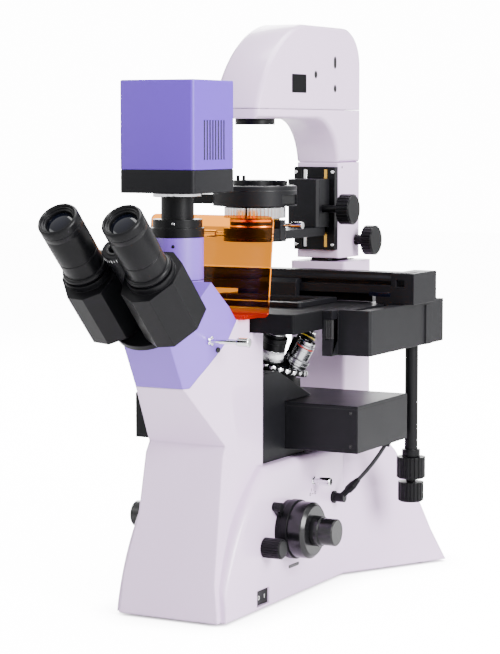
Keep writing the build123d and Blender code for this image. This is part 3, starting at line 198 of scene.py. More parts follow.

# %% [markdown]
# Real finishes are never one flat colour. Three effects come back in most of them, so each is a
# node group: a fine grain that breaks up the gloss and gives a little relief, an edge mask that
# finds where a surface turns sharply, used to paint the highlight that rounded edges catch, and a
# faint cloudiness of colour, as light dust and handling leave.


# %% Shared effects
MIX_A, MIX_B, MIXED = 6, 7, 2    # the colour sockets of a Mix node, two in and one out


def new_group(name, inputs, outputs):
    """An empty shader group with its sockets, and its two end nodes."""
    group = bpy.data.node_groups.new(name, "ShaderNodeTree")
    for socket, kind, value in inputs:
        made = group.interface.new_socket(socket, in_out="INPUT", socket_type=kind)
        if value is not None:
            made.default_value = value
    for socket, kind in outputs:
        group.interface.new_socket(socket, in_out="OUTPUT", socket_type=kind)
    return group, group.nodes.new("NodeGroupInput"), group.nodes.new("NodeGroupOutput")


def node(tree, kind, **values):
    """A shader node with its properties, or its input sockets where the name is a socket's."""
    made = tree.nodes.new(kind)
    for name, value in values.items():
        socket = name.replace("_", " ")
        if socket in made.inputs:
            made.inputs[socket].default_value = value
        else:
            setattr(made, name, value)
    return made


def grain_group():
    """Grain: fine noise at Scale per metre, as a height, and a roughness that strays by Spread."""
    group, start, end = new_group(
        "grain",
        [("Vector", "NodeSocketVector", None), ("Scale", "NodeSocketFloat", 900.0),
         ("Roughness", "NodeSocketFloat", 0.4), ("Spread", "NodeSocketFloat", 0.1)],
        [("Height", "NodeSocketFloat"), ("Roughness", "NodeSocketFloat")],
    )
    fine = node(group, "ShaderNodeTexNoise", Detail=3.0, Roughness=0.6)
    wide = node(group, "ShaderNodeTexNoise", Scale=14.0, Detail=4.0)
    spread = node(group, "ShaderNodeMath", operation="MULTIPLY_ADD")
    centred = node(group, "ShaderNodeMath", operation="SUBTRACT")
    centred.inputs[1].default_value = 0.5
    link = group.links.new
    link(start.outputs["Vector"], fine.inputs["Vector"])
    link(start.outputs["Scale"], fine.inputs["Scale"])
    link(start.outputs["Vector"], wide.inputs["Vector"])
    link(wide.outputs["Fac"], centred.inputs[0])
    link(centred.outputs[0], spread.inputs[0])
    link(start.outputs["Spread"], spread.inputs[1])
    link(start.outputs["Roughness"], spread.inputs[2])
    link(fine.outputs["Fac"], end.inputs["Height"])
    link(spread.outputs[0], end.inputs["Roughness"])
    return group


def edge_group():
    """Edge: Gain * (1 - n . m), where n is the surface's normal and m its average over Radius."""
    group, start, end = new_group(
        "edge",
        [("Radius", "NodeSocketFloat", 0.001), ("Gain", "NodeSocketFloat", 2.0)],
        [("Mask", "NodeSocketFloat"), ("Normal", "NodeSocketVector")],
    )
    rounded = node(group, "ShaderNodeBevel", samples=6)
    geometry = node(group, "ShaderNodeNewGeometry")
    match = node(group, "ShaderNodeVectorMath", operation="DOT_PRODUCT")
    fall = node(group, "ShaderNodeMath", operation="SUBTRACT", use_clamp=True)
    fall.inputs[0].default_value = 1.0
    gain = node(group, "ShaderNodeMath", operation="MULTIPLY", use_clamp=True)
    link = group.links.new
    link(start.outputs["Radius"], rounded.inputs["Radius"])
    link(rounded.outputs["Normal"], match.inputs[0])
    link(geometry.outputs["Normal"], match.inputs[1])
    link(match.outputs["Value"], fall.inputs[1])
    link(fall.outputs[0], gain.inputs[0])
    link(start.outputs["Gain"], gain.inputs[1])
    link(gain.outputs[0], end.inputs["Mask"])
    link(rounded.outputs["Normal"], end.inputs["Normal"])
    return group


def cloud_group():
    """Clouding: a colour that drifts a little towards Shade in wide, soft patches."""
    group, start, end = new_group(
        "clouding",
        [("Vector", "NodeSocketVector", None), ("Color", "NodeSocketColor", (0.8, 0.8, 0.8, 1)),
         ("Shade", "NodeSocketColor", (0.6, 0.6, 0.6, 1)), ("Amount", "NodeSocketFloat", 0.2)],
        [("Color", "NodeSocketColor")],
    )
    patches = node(group, "ShaderNodeTexNoise", Scale=9.0, Detail=5.0, Roughness=0.55)
    share = node(group, "ShaderNodeMath", operation="MULTIPLY", use_clamp=True)
    mix = node(group, "ShaderNodeMix", data_type="RGBA")
    link = group.links.new
    link(start.outputs["Vector"], patches.inputs["Vector"])
    link(patches.outputs["Fac"], share.inputs[0])
    link(start.outputs["Amount"], share.inputs[1])
    link(share.outputs[0], mix.inputs["Factor"])
    link(start.outputs["Color"], mix.inputs[MIX_A])
    link(start.outputs["Shade"], mix.inputs[MIX_B])
    link(mix.outputs[MIXED], end.inputs["Color"])
    return group


GRAIN, PAINTED_EDGE_LIGHT, CLOUD = grain_group(), edge_group(), cloud_group()
print("effects:", GRAIN.name, PAINTED_EDGE_LIGHT.name, CLOUD.name)

# %% [markdown]
# Most of the microscope is painted or moulded, so one function makes such a finish: the colour
# clouds a little, goes lighter along its edges in a painted highlight, and the grain lifts the
# surface by a few hundredths of a millimetre at most. Constants sit on the shader's own sockets.


# %% Finishes
MM = 0.001
COAT_ROUGHNESS = 0.12


def linear(code):
    """A colour code such as DDD3DF as linear light, by the sRGB curve:
    c / 12.92 below 0.04045, else ((c + 0.055) / 1.055) ^ 2.4."""
    channel = np.array([int(code[k:k + 2], 16) / 255 for k in (0, 2, 4)])
    curved = ((channel + 0.055) / 1.055) ** 2.4
    return (*np.where(channel <= 0.04045, channel / 12.92, curved), 1.0)


def finish(name, colour, shade, edge_highlight_colour, roughness, spread=0.08, grain=900.0, relief=0.02,
           edge_highlight_gain=0.6, metallic=0.0, coat=0.0, specular=0.5, cloud=0.25, radius=0.0008):
    """A painted, moulded or plated finish from the shared effects. The grain's scale is per metre
    and its relief in millimetres; radius, in metres, is how far an edge reaches into its faces."""
    material = bpy.data.materials.new(name)
    material.use_nodes = True
    tree = material.node_tree
    shader = tree.nodes["Principled BSDF"]
    place = node(tree, "ShaderNodeTexCoord")
    clouds = node(tree, "ShaderNodeGroup", node_tree=CLOUD)
    clouds.inputs["Color"].default_value = linear(colour)
    clouds.inputs["Shade"].default_value = linear(shade)
    clouds.inputs["Amount"].default_value = cloud
    edges = node(tree, "ShaderNodeGroup", node_tree=PAINTED_EDGE_LIGHT)
    edges.inputs["Radius"].default_value = radius
    edges.inputs["Gain"].default_value = edge_highlight_gain
    # painted highlight: the edge mask mixes the lighter edge colour into the base colour
    mix = node(tree, "ShaderNodeMix", data_type="RGBA")
    mix.inputs[MIX_B].default_value = linear(edge_highlight_colour)
    fine = node(tree, "ShaderNodeGroup", node_tree=GRAIN)
    fine.inputs["Scale"].default_value = grain
    fine.inputs["Roughness"].default_value = roughness
    fine.inputs["Spread"].default_value = spread
    bump = node(tree, "ShaderNodeBump", Strength=1.0, Distance=relief * MM)
    link = tree.links.new
    link(place.outputs["Object"], clouds.inputs["Vector"])
    link(place.outputs["Object"], fine.inputs["Vector"])
    link(clouds.outputs["Color"], mix.inputs[MIX_A])
    link(edges.outputs["Mask"], mix.inputs["Factor"])
    link(mix.outputs[MIXED], shader.inputs["Base Color"])
    link(fine.outputs["Roughness"], shader.inputs["Roughness"])
    link(fine.outputs["Height"], bump.inputs["Height"])
    link(edges.outputs["Normal"], bump.inputs["Normal"])
    link(bump.outputs["Normal"], shader.inputs["Normal"])
    shader.inputs["Metallic"].default_value = metallic
    shader.inputs["Coat Weight"].default_value = coat
    shader.inputs["Coat Roughness"].default_value = COAT_ROUGHNESS
    shader.inputs["Specular IOR Level"].default_value = specular
    return material


# the third colour of each finish is its painted edge highlight
pearl_paint = finish("pearl paint", "DCC2E4", "D2B7DB", "EAD6F0", 0.30, coat=0.3, relief=0.008,
                     radius=0.003, edge_highlight_gain=0.15)
violet_paint = finish("violet paint", "7450BE", "6A47B3", "957ADC", 0.36, coat=0.15, relief=0.01,
                      radius=0.002, edge_highlight_gain=0.2)
camera_paint = finish("camera paint", "572DB0", "5028A6", "7C58D6", 0.42, relief=0.015)
charcoal_paint = finish("charcoal paint", "101013", "0C0C0F", "2A2B30", 0.42, grain=1600,
                        relief=0.03, specular=0.12)
black_plastic = finish("black plastic", "0C0C0E", "09090B", "232327", 0.33, grain=1800,
                       relief=0.025, specular=0.12)
black_satin = finish("black satin", "0D0D0F", "0A0A0C", "222226", 0.24, spread=0.05, grain=1500,
                     relief=0.01, specular=0.35)
black_gloss = finish("black gloss", "08080A", "0A0A0C", "1C1C20", 0.14, spread=0.04, relief=0.004,
                     coat=0.15, specular=0.3)
stage_black = finish("stage black", "0C0C0E", "0A0A0C", "1C1C20", 0.62, grain=1500, relief=0.02,
                     specular=0.05)
black_rubber = finish("black rubber", "0F0F11", "141416", "1E1E21", 0.72, grain=1200, relief=0.04)
chrome = finish("chrome", "E4E4E7", "D2D2D6", "FAFAFC", 0.10, metallic=1.0, relief=0.002,
                spread=0.05)
steel = finish("satin steel", "B9B9BE", "A6A6AC", "E2E2E6", 0.26, metallic=1.0, relief=0.006)
brass = finish("brass", "D9A94E", "C2923C", "F2D08A", 0.2, metallic=1.0, relief=0.004)
coated_lens = finish("coated lens", "080A14", "0C1020", "1A2040", 0.05, spread=0.01, relief=0.0,
                     coat=0.1, specular=0.15)
# painted shade inside openings and holes, and the dark colour of seams and marks
painted_shade_and_dark_marks = finish("painted shade and dark marks", "040405", "050506", "060607", 0.9, relief=0.0)
mark_white = finish("white marking", "E8E8E8", "DDDDDD", "F2F2F2", 0.5, relief=0.004)
print(len(bpy.data.materials), "finishes so far")

# %% [markdown]
# The amber shield is clear acrylic dyed through: it passes orange light and stops blue. Its faces
# are almost clear and very smooth, so the colour comes from transmission. Its edges and the bend of
# its foot get a painted glow, a red colour with a weak emission, for the light that such a sheet
# gathers and lets out there.


# %% Amber acrylic
FOOT_BEND = (0.2900, 0.2960)    # heights in metres between which the red of the foot fades out
# strength of the painted glow's emission, per unit of red
PAINTED_EDGE_GLOW = 0.28


def amber_finish():
    """Clear dyed acrylic with a painted red glow along the edges and at the bend of the foot:
    red = the larger of the edge mask and a ramp from one to zero over FOOT_BEND, and the
    painted glow's emission follows the same share."""
    material = bpy.data.materials.new("amber acrylic")
    material.use_nodes = True
    tree = material.node_tree
    shader = tree.nodes["Principled BSDF"]
    place = node(tree, "ShaderNodeTexCoord")
    axes = node(tree, "ShaderNodeSeparateXYZ")
    low, high = FOOT_BEND
    foot = node(tree, "ShaderNodeMapRange", From_Min=low, From_Max=high, To_Min=1.0, To_Max=0.0)
    edges = node(tree, "ShaderNodeGroup", node_tree=PAINTED_EDGE_LIGHT)
    edges.inputs["Radius"].default_value = 0.0009
    edges.inputs["Gain"].default_value = 2.5
    # painted glow mask: the larger of the edge mask and the foot's ramp
    most = node(tree, "ShaderNodeMath", operation="MAXIMUM")
    mix = node(tree, "ShaderNodeMix", data_type="RGBA")
    mix.inputs[MIX_A].default_value = linear("FF9A22")
    mix.inputs[MIX_B].default_value = linear("E8371C")
    tree.links.new(place.outputs["Object"], axes.inputs["Vector"])
    tree.links.new(axes.outputs["Z"], foot.inputs["Value"])
    tree.links.new(foot.outputs["Result"], most.inputs[0])
    tree.links.new(edges.outputs["Mask"], most.inputs[1])
    tree.links.new(most.outputs[0], mix.inputs["Factor"])
    tree.links.new(mix.outputs[MIXED], shader.inputs["Base Color"])
    # painted glow: a weak red emission where the mask is red
    glow = node(tree, "ShaderNodeMath", operation="MULTIPLY")
    glow.inputs[1].default_value = PAINTED_EDGE_GLOW
    tree.links.new(most.outputs[0], glow.inputs[0])
    tree.links.new(glow.outputs[0], shader.inputs["Emission Strength"])
    shader.inputs["Emission Color"].default_value = linear("F03A14")
    shader.inputs["Transmission Weight"].default_value = 1.0
    shader.inputs["Roughness"].default_value = 0.02
    shader.inputs["IOR"].default_value = 1.2
    return material


amber = amber_finish()

# %% [markdown]
# The lamp lead is the only cord in the photograph. It is a thin, stiff lead that leaves its plug on
# the stand's side and goes up into the gland under the fluorescence unit, in one gentle bend. It is
# a NURBS line with the drawing's own points as control points, given a round section.

# %% Lamp lead
LEAD_ROUTE = ((0.0785, 0.0620, 0.0985), (0.0920, 0.0647, 0.1127), (0.1060, 0.0690, 0.1310),
              (0.1135, 0.0720, 0.1445))
LEAD_DIAMETER = 0.004

lead_curve = bpy.data.curves.new("lamp_lead_line", "CURVE")
lead_curve.dimensions = "3D"
spline = lead_curve.splines.new("NURBS")
spline.points.add(len(LEAD_ROUTE) - 1)
for point, place in zip(spline.points, LEAD_ROUTE):
    point.co = (*place, 1.0)
spline.order_u = 3
spline.use_endpoint_u = True
lead_curve.bevel_depth = LEAD_DIAMETER / 2
lead_curve.bevel_resolution = 6
lead_curve.resolution_u = 12
lead_curve.use_fill_caps = True
lead = in_scene("lead", lead_curve)
lead.data.materials.append(black_rubber)
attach(lead, "stand")
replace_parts(lead, "lamp_lead")

# %% [markdown]
# The studio is a pale floor that fades into a pale background, a broad soft light from the right, a
# weaker one from the left, one overhead and one behind, as a product photograph is lit. The floor
# and the backdrop are as bright to the camera as in the photograph, but light the object less.

# %% Studio
def ray_strength(tree, base, camera, through, mirrored):
    """A strength by kind of ray: base + camera for what the camera sees, + through for what it
    sees through glass, + mirrored for reflections."""
    kinds = node(tree, "ShaderNodeLightPath")
    total = None
    for output, extra in (("Is Camera Ray", camera), ("Is Transmission Ray", through),
                          ("Is Glossy Ray", mirrored)):
        step = node(tree, "ShaderNodeMath", operation="MULTIPLY_ADD")
        step.inputs[1].default_value = extra
        step.inputs[2].default_value = base
        tree.links.new(kinds.outputs[output], step.inputs[0])
        if total:
            tree.links.new(total, step.inputs[2])
        total = step.outputs[0]
    return total


FLOOR_HALF = 7.0
# reach of the painted contact shadow on the floor
PAINTED_SHADOW_REACH = 0.045    # metres over which the floor darkens under the microscope
floor = in_scene("floor", bpy.data.meshes.new("floor"))
corners = [(x * FLOOR_HALF, y * FLOOR_HALF, 0) for x, y in ((-1, -1), (1, -1), (1, 1), (-1, 1))]
floor.data.from_pydata(corners, [], [(0, 1, 2, 3)])
floor_paint = bpy.data.materials.new("pale floor")
floor_paint.use_nodes = True
floor_shader = floor_paint.node_tree.nodes["Principled BSDF"]
floor_shader.inputs["Base Color"].default_value = (0.97, 0.97, 0.97, 1)
floor_shader.inputs["Roughness"].default_value = 0.8
floor_shader.inputs["Emission Color"].default_value = (1, 1, 1, 1)
floor_tree = floor_paint.node_tree
# painted contact shadow: ambient occlusion darkens the floor's glow under the microscope
painted_contact_shadow = node(floor_tree, "ShaderNodeAmbientOcclusion", Distance=PAINTED_SHADOW_REACH, samples=16)
by_ray = ray_strength(floor_tree, 0.0, camera=13.0, through=0.5, mirrored=0.0)
glow = node(floor_tree, "ShaderNodeMath", operation="MULTIPLY")
floor_tree.links.new(by_ray, glow.inputs[0])
floor_tree.links.new(painted_contact_shadow.outputs["AO"], glow.inputs[1])
floor_tree.links.new(glow.outputs[0], floor_shader.inputs["Emission Strength"])
floor.data.materials.append(floor_paint)

world = bpy.data.worlds.new("studio")
world.use_nodes = True
sky = world.node_tree
sky.nodes["Background"].inputs["Color"].default_value = (1, 1, 1, 1)
strength = ray_strength(sky, 0.4, camera=14.0, through=0.9, mirrored=1.4)
sky.links.new(strength, sky.nodes["Background"].inputs["Strength"])
bpy.context.scene.world = world


def soft_light(name, place, target, size, power):
    """A square area light at place that faces target."""
    light = in_scene(name, bpy.data.lights.new(name, "AREA"))
    light.data.size = size
    light.data.energy = power
    light.location = place
    light.rotation_euler = (Vector(target) - Vector(place)).to_track_quat("-Z", "Y").to_euler()


middle = (0, -0.05, 0.3)
soft_light("left light", (-1.7, -1.3, 1.2), middle, 1.0, 22)
soft_light("right light", (2.3, -0.8, 1.2), middle, 1.2, 170)
soft_light("top light", (0.2, 0.3, 2.2), middle, 1.4, 80)
soft_light("rear light", (-1.3, 2.0, 1.3), middle, 1.2, 60)
print(len(bpy.data.lights), "lights over a floor", 2 * FLOOR_HALF, "m wide")

# %% [markdown]
# Each solid is given its finish. A copy of the solid takes its place, with its small triangles
# merged into whole faces, so that its edges can be rounded, as castings and turned parts have them.

# %% Finishes on the solids
FINISHES = {    # solid: its finish, and how far its edges are rounded in metres
    "stand_body": (pearl_paint, 0.0012), "stage_plate": (stage_black, 0.0008),
    "arm_pillar": (pearl_paint, 0.0010), "lamp_head": (pearl_paint, 0.0012),
    "lamp_cover": (pearl_paint, 0.0012), "head_housing": (violet_paint, 0.0012),
    "trinocular_tube": (violet_paint, 0.0004), "camera_base": (charcoal_paint, 0.0010),
    "camera_housing": (camera_paint, 0.0010), "inner_housing": (charcoal_paint, 0.0008),
    "fluorescence_unit": (charcoal_paint, 0.0006), "stage_drive_box": (charcoal_paint, 0.0006),
    "stage_drive_post": (black_plastic, 0.0004), "condenser_drum": (charcoal_paint, 0.0005),
    "phase_slider": (black_plastic, 0.0005), "condenser_carrier": (charcoal_paint, 0.0008),
    "condenser_mount": (charcoal_paint, 0.0005), "filter_holder": (black_plastic, 0.0004),
    "rack_plate": (black_plastic, 0.0005), "hinge_bracket": (charcoal_paint, 0.0005),
    "prism_housing_left": (black_plastic, 0.0040), "prism_housing_right": (black_plastic, 0.0040),
    "focus_carrier": (charcoal_paint, 0.0004), "base_plate": (charcoal_paint, 0.0003),
    "field_lens": (black_plastic, 0.0003), "camera_adapter": (black_plastic, 0.0004),
    "coarse_knob_left": (black_satin, 0.0005), "coarse_knob_right": (black_satin, 0.0005),
    "fine_knob_left": (black_satin, 0.0005), "fine_knob_right": (black_satin, 0.0005),
    "tension_ring": (black_plastic, 0.0005), "lock_lever": (black_plastic, 0.0005),
    "brightness_knob": (black_plastic, 0.0003), "power_rocker": (black_plastic, 0.0003),
    "power_inlet": (black_plastic, 0.0003), "stage_y_knob": (black_plastic, 0.0003),
    "stage_x_knob": (black_plastic, 0.0003), "tilt_lock_knob": (black_plastic, 0.0003),
    "condenser_focus_knob": (black_plastic, 0.0003), "stage_insert": (black_plastic, 0.0002),
    "lead_plug": (black_plastic, 0.0003), "shield_screws": (chrome, 0.0003),
    "aperture_ring": (chrome, 0.0002), "centring_screws": (chrome, 0.0003),
    "head_pull_rod": (chrome, 0.0003), "body_pull_rod": (chrome, 0.0003),
    "nosepiece_turret": (black_plastic, 0.0002), "specimen_bar": (charcoal_paint, 0.0004),
    "specimen_holder": (charcoal_paint, 0.0004), "binocular_flange": (charcoal_paint, 0.0004),
    "amber_shield": (amber, 0.0003), "rubber_feet": (black_rubber, 0.0005),
}
for solid, (material, edge) in FINISHES.items():
    dress(solid, material, edge)
print(len(FINISHES), "solids finished")

# %% [markdown]
# The small pieces below are laid out in millimetres, like the drawing, and turned into metres here.
# Outlines and profiles are plain lists or arrays of points.


# %% Small pieces in millimetres
def spun(profile, origin, axis, flute_depth=0.0, **options):
    """A turned surface from a profile of (radius, height) in millimetres."""
    profile, origin = np.array(profile, float) * MM, np.array(origin, float) * MM
    return turned(profile, origin, axis, flute_depth=flute_depth * MM, **options)


def hoop(profile, origin, axis, **options):
    """A turned surface whose profile closes on itself, so that it goes round an open middle."""
    return spun(profile + profile[:1], origin, axis, **options)


def square_band(inner, outer, low, high):
    """The profile of a hoop with a rectangular section."""
    return [(inner, low), (outer, low), (outer, high), (inner, high)]


def plate(outline, origin, u, v, depth):
    """A plate from an outline in millimetres in the plane of u and v, as thick as vector depth."""
    outline, origin, depth = (np.array(part, float) * MM for part in (outline, origin, depth))
    return outline_solid(outline, origin, u, v, depth)


def rounded(width, height, radius, steps=5):
    """The outline of a rounded rectangle: radius * (cos a, sin a) about each corner's centre."""
    signs = np.array(((1, 1), (-1, 1), (-1, -1), (1, -1)))
    centres = signs * (np.array((width, height)) / 2 - radius)
    angle = np.linspace(np.arange(4), np.arange(1, 5), steps).T * pi / 2
    corners = centres[:, None] + radius * np.stack([np.cos(angle), np.sin(angle)], axis=2)
    return corners.reshape(-1, 2)


def disc(radius, depth, edge=0.3):
    """The profile of a disc with a rounded rim, from its back to its face."""
    return [(0, 0), (radius, 0), (radius, depth - edge), (radius - edge, depth), (0, depth)]


X, Y, Z = np.eye(3)
HALF = sqrt(0.5)
SLOPE_N = np.array((0, -HALF, HALF))    # square to the sloped face of the head
SLOPE_V = np.array((0, HALF, HALF))     # up that face
HINGE = 350 * SLOPE_N + 64 * SLOPE_V    # foot of the binocular's spindle
ORIGIN = (0, 0, 0)
print("small pieces are drawn in units of", MM, "m")

# %% [markdown]
# An eyepiece is a turned piece: a rounded collar at its foot, the sleeve with its dioptre line, a
# bezel, and the coated eye lens a little below it. Between the eyepieces, white ticks on the disc
# of the hinge tell how far apart they are set.

# %% Eyepieces
SLEEVE = [(0, -2), (12.5, -2.2), (12.5, -28), (15, -28), (15, 0.3), (19.2, 0.3), (19.3, 21.6),
          (18.8, 22.0), (18.8, 22.8), (19.4, 23.2), (19.5, 52.0), (19.1, 53.0), (19.1, 54.0),
          (19.5, 55.0), (19.5, 59.0), (0, 59.0)]
COLLAR = [(19.0, 0.4), (20.6, 0.6), (21.6, 1.8), (21.8, 3.4), (21.3, 5.0), (20.0, 6.0), (19.0, 6.2)]
BEZEL = [(18.8, 59.0), (19.4, 59.4), (19.5, 65.4), (18.7, 67.0), (17.6, 67.9), (16.9, 68.0),
         (16.2, 67.4), (15.9, 65.6), (14.9, 65.2), (14.6, 63.8), (13.4, 63.4), (13.1, 61.8),
         (13.1, 59.0)]
LENS = [(0, 59.2), (13.0, 59.2), (13.0, 61.2), (10.5, 62.3), (7.5, 63.1), (4.0, 63.6), (0, 63.8)]
EYE_OFFSET, EYE_DROP, EYE_HEIGHT = 33.3, 12, 80.3    # from the spindle's foot, across, down and out
for side, hand in ((1, "right"), (-1, "left")):
    foot = HINGE + side * EYE_OFFSET * X - EYE_DROP * SLOPE_V + EYE_HEIGHT * SLOPE_N
    solid = "eyepiece_" + hand
    sleeve = spun(SLEEVE, foot, SLOPE_N, segments=96)
    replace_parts(put("sleeve_" + hand, [sleeve], black_plastic, solid, 30), solid)
    for name, profile, smooth in (("collar_", COLLAR, 50), ("bezel_", BEZEL, 40)):
        put(name + hand, [hoop(profile, foot, SLOPE_N, segments=96)], black_plastic, solid, smooth)
    put("eye_lens_" + hand, [spun(LENS, foot, SLOPE_N)], coated_lens, solid, 60)

TICK_STEP = radians(11)
TICK_WIDTH, LONG_TICK, SHORT_TICK, TICK_DEPTH = 0.6, 3.8, 2.2, 0.16
DIAL_RADIUS, DIAL_HEIGHT, CAP_HEIGHT = 13.42, 93, 97
ticks = []
for count in range(-7, 8):
    turn = count * TICK_STEP
    outward, across = sin(turn) * X - cos(turn) * SLOPE_V, cos(turn) * X + sin(turn) * SLOPE_V
    wide, tall = TICK_WIDTH / 2, (SHORT_TICK if count % 2 else LONG_TICK) / 2
    outline = [(-wide, -tall), (wide, -tall), (wide, tall), (-wide, tall)]
    tick_middle = HINGE + DIAL_HEIGHT * SLOPE_N + DIAL_RADIUS * outward
    ticks.append(plate(outline, tick_middle, across, SLOPE_N, TICK_DEPTH * outward))
put("dial_marks", ticks, mark_white, "binocular_flange")
cap = hoop(square_band(6.9, 9.0, 0, 0.5), HINGE + CAP_HEIGHT * SLOPE_N, SLOPE_N)
put("dial_cap", [cap], black_gloss, "binocular_flange")
print("eyepieces, with", len(ticks), "marks on the dial between them")

# %% [markdown]
# The objectives stand on the turret like the seats they are screwed into: the working one upright,
# the others leaning outward round the tilted axis. Each is a turned barrel with a knurled grip, a
# coloured band, a bright line and a bright nose, and the turret has a bright rim for the fingers.

# %% Objectives and turret
TILT, TURN, SEAT_R, SEAT_Z = radians(15), radians(30), 23.0, 240.0
lean = np.array((sin(TILT) * cos(TURN), sin(TILT) * sin(TURN), cos(TILT)))
downhill = np.array((cos(TILT) * cos(TURN), cos(TILT) * sin(TURN), -sin(TILT)))
turret_middle = SEAT_Z * Z + SEAT_R * downhill
sideways = np.cross(lean, -downhill)


def seat(index):
    """One objective's place and axis, for a = its turn round the nosepiece and t = the tilt:
    out = -downhill cos a + sideways sin a, axis = lean cos t + out sin t."""
    angle = tau * index / 5
    out = -cos(angle) * downhill + sin(angle) * sideways
    return turret_middle + SEAT_R * out, cos(TILT) * lean + sin(TILT) * out


def barrel(steps, lip=0.4):
    """A profile that steps through (radius, end) with a small bevel at each shoulder, from the
    screwed foot in its seat to the hollow for the front lens."""
    profile, start = [(0, -4.5), (9.9, -4.5), (9.9, 0)], 0.0
    for radius, end in steps:
        profile += [(radius - lip, start), (radius, start + lip), (radius, end - lip),
                    (radius - lip, end)]
        start = end
    lens = steps[-1][0] * 0.45
    return profile + [(lens, start), (lens, start - 0.5), (0, start - 0.5)]


OBJECTIVES = {    # solid: place on the nosepiece, steps of the barrel, its finish, its colour
    "objective_20x": (0, [(12.0, 9), (10.4, 27), (9.5, 36), (7.0, 41.5)], steel, "57B45A"),
    "objective_40x": (1, [(12.0, 20), (12.4, 26), (10.0, 37), (6.0, 43)], black_plastic, "4C8FD8"),
    "objective_4x": (2, [(11.0, 5), (11.8, 9), (9.4, 25), (8.4, 29)], steel, "D8453E"),
    "objective_10x": (3, [(11.5, 12), (12.0, 24), (9.5, 33), (7.5, 37)], black_plastic, "E7C53A"),
    "objective_60x": (4, [(12.0, 16), (12.4, 30), (9.0, 39), (5.5, 43)], black_plastic, "3E5FC0"),
}
for solid, (index, steps, material, code) in OBJECTIVES.items():
    place, axis = seat(index)
    piece = put(solid + "_barrel", [spun(barrel(steps), place, axis)], material, solid, 30)
    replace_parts(piece, solid)
    radius, end = steps[0]
    inner, outer = radius - 0.5, radius + 0.25
    grip = [(inner, 1.2), (outer, 1.5), (outer, end * 0.62), (inner, end * 0.66)]
    knurled = hoop(grip, place, axis, segments=240, flutes=60, flute_depth=0.35)
    put(solid + "_grip", [knurled], black_plastic if material == steel else chrome, solid, 50)
    radius, end = steps[-2]
    colour = finish(solid + " band", code, code, code, 0.35, relief=0.0)
    for name, drop, wide, tint in (("_band", 3.6, 1.4, colour), ("_line", 7.4, 0.7, chrome)):
        low = end - drop
        band = square_band(radius - 0.5, radius + 0.06, low, low + wide)
        put(solid + name, [hoop(band, place, axis)], tint, solid, 30)
    radius, end = steps[-1]
    nose = [(radius * 0.42, end - 0.3), (radius * 0.5, end + 0.05), (radius - 0.3, end + 0.05),
            (radius + 0.05, end - 0.5), (radius + 0.05, end - 2.4), (radius * 0.42, end - 2.4)]
    put(solid + "_nose", [hoop(nose, place, axis)], chrome, solid, 30)
RIM = [(31.5, -9.3), (33.8, -9.3), (34.4, -8.6), (34.4, -4.6), (33.4, -3.3), (31.5, -2.5)]
rim = hoop(RIM, turret_middle, lean, segments=300, flutes=25, flute_depth=1.3)
put("turret_rim", [rim], chrome, "nosepiece_turret", 40)
print(len(OBJECTIVES), "objectives")

# %% [markdown]
# The condenser shows brass between its black parts, in a neck above the lower ring. Thin glossy
# lines run round the drum and the ring, and the phase slider has a grooved end. Behind it, the rack
# plate has a bright strip, a brass strip and four screws.

# %% Condenser and rack
NECK = [(24.6, 368.3), (25.1, 368.4), (25.3, 368.9), (25.3, 370.6), (24.8, 371.2), (24.8, 374.4),
        (25.2, 375.0), (25.2, 377.3), (24.6, 377.8)]
LID = [(41.5, 405.6), (42.7, 405.8), (42.7, 406.6), (41.5, 406.8)]
LOWER = [(30.8, 355.6), (31.7, 356.0), (31.7, 358.6), (30.8, 359.0)]
put("brass_neck", [hoop(NECK, ORIGIN, Z, segments=96)], brass, "condenser_drum", 40)
put("drum_line", [hoop(LID, ORIGIN, Z, segments=128)], black_gloss, "condenser_drum", 40)
put("mount_line", [hoop(LOWER, ORIGIN, Z, segments=96)], black_gloss, "condenser_mount", 40)

SLIDER_FRONT, SLIDER_HEIGHT = -16, 397
ribs = [plate(rounded(1.2, 8.0, 0.5, 3), (x, SLIDER_FRONT, SLIDER_HEIGHT), X, Z, -0.6 * Y)
        for x in np.linspace(-93, -83, 5)]
put("slider_grip", ribs, black_plastic, "phase_slider")
slider_screw = spun(disc(2.2, 0.8), (-72, SLIDER_FRONT, SLIDER_HEIGHT), -Y, segments=32)
put("slider_screw", [slider_screw], chrome, "phase_slider")

STRIP_X, STRIP_FRONT, STRIP_MIDDLE, PLATE_FRONT = 12.3, 141.0, 383.2, 136.5
for x, metal in ((-STRIP_X, chrome), (STRIP_X, brass)):
    strip = plate(rounded(4.0, 83, 0.6, 3), (x, STRIP_FRONT, STRIP_MIDDLE), X, Z, -1.6 * Y)
    put(f"rack_strip_{metal.name}", [strip], metal, "rack_plate", edge=0.0003)
screws = [spun(disc(1.9, 0.7), (x, PLATE_FRONT, z), -Y, segments=32)
          for x in (-21.6, 21.6) for z in (344.5, 422.0)]
put("rack_screws", screws, chrome, "rack_plate")
FIELD_GLASS = [(0, 472.2), (10.9, 472.2), (10.9, 473.6), (0, 474.4)]
put("field_glass", [spun(FIELD_GLASS, ORIGIN, Z)], coated_lens, "field_lens", 60)
print("condenser and rack dressed")

# %% [markdown]
# The camera sits on a bright mount ring. Dark plates in its vents paint the shade inside them,
# where the housing behind is closed, and the seam of the violet tube is a thin dark line.

# %% Camera and tube
PORT_Y = -158
PORT = PORT_Y * Y    # the upright axis of the camera's tube
MOUNT_RING = [(22.4, 404.5), (23.15, 404.7), (23.15, 407.3), (22.4, 407.5)]
put("mount_ring", [hoop(MOUNT_RING, PORT, Z, segments=96)], chrome, "camera_adapter", 40)
VENT_COUNT, VENT_PITCH, VENT_SIDE, VENT_HEIGHT = 8, 5.4, 39.85, 457.5
vent_rows = PORT_Y + (np.arange(VENT_COUNT) - (VENT_COUNT - 1) / 2) * VENT_PITCH
slit = rounded(2.34, 36.9, 0.3, 2)
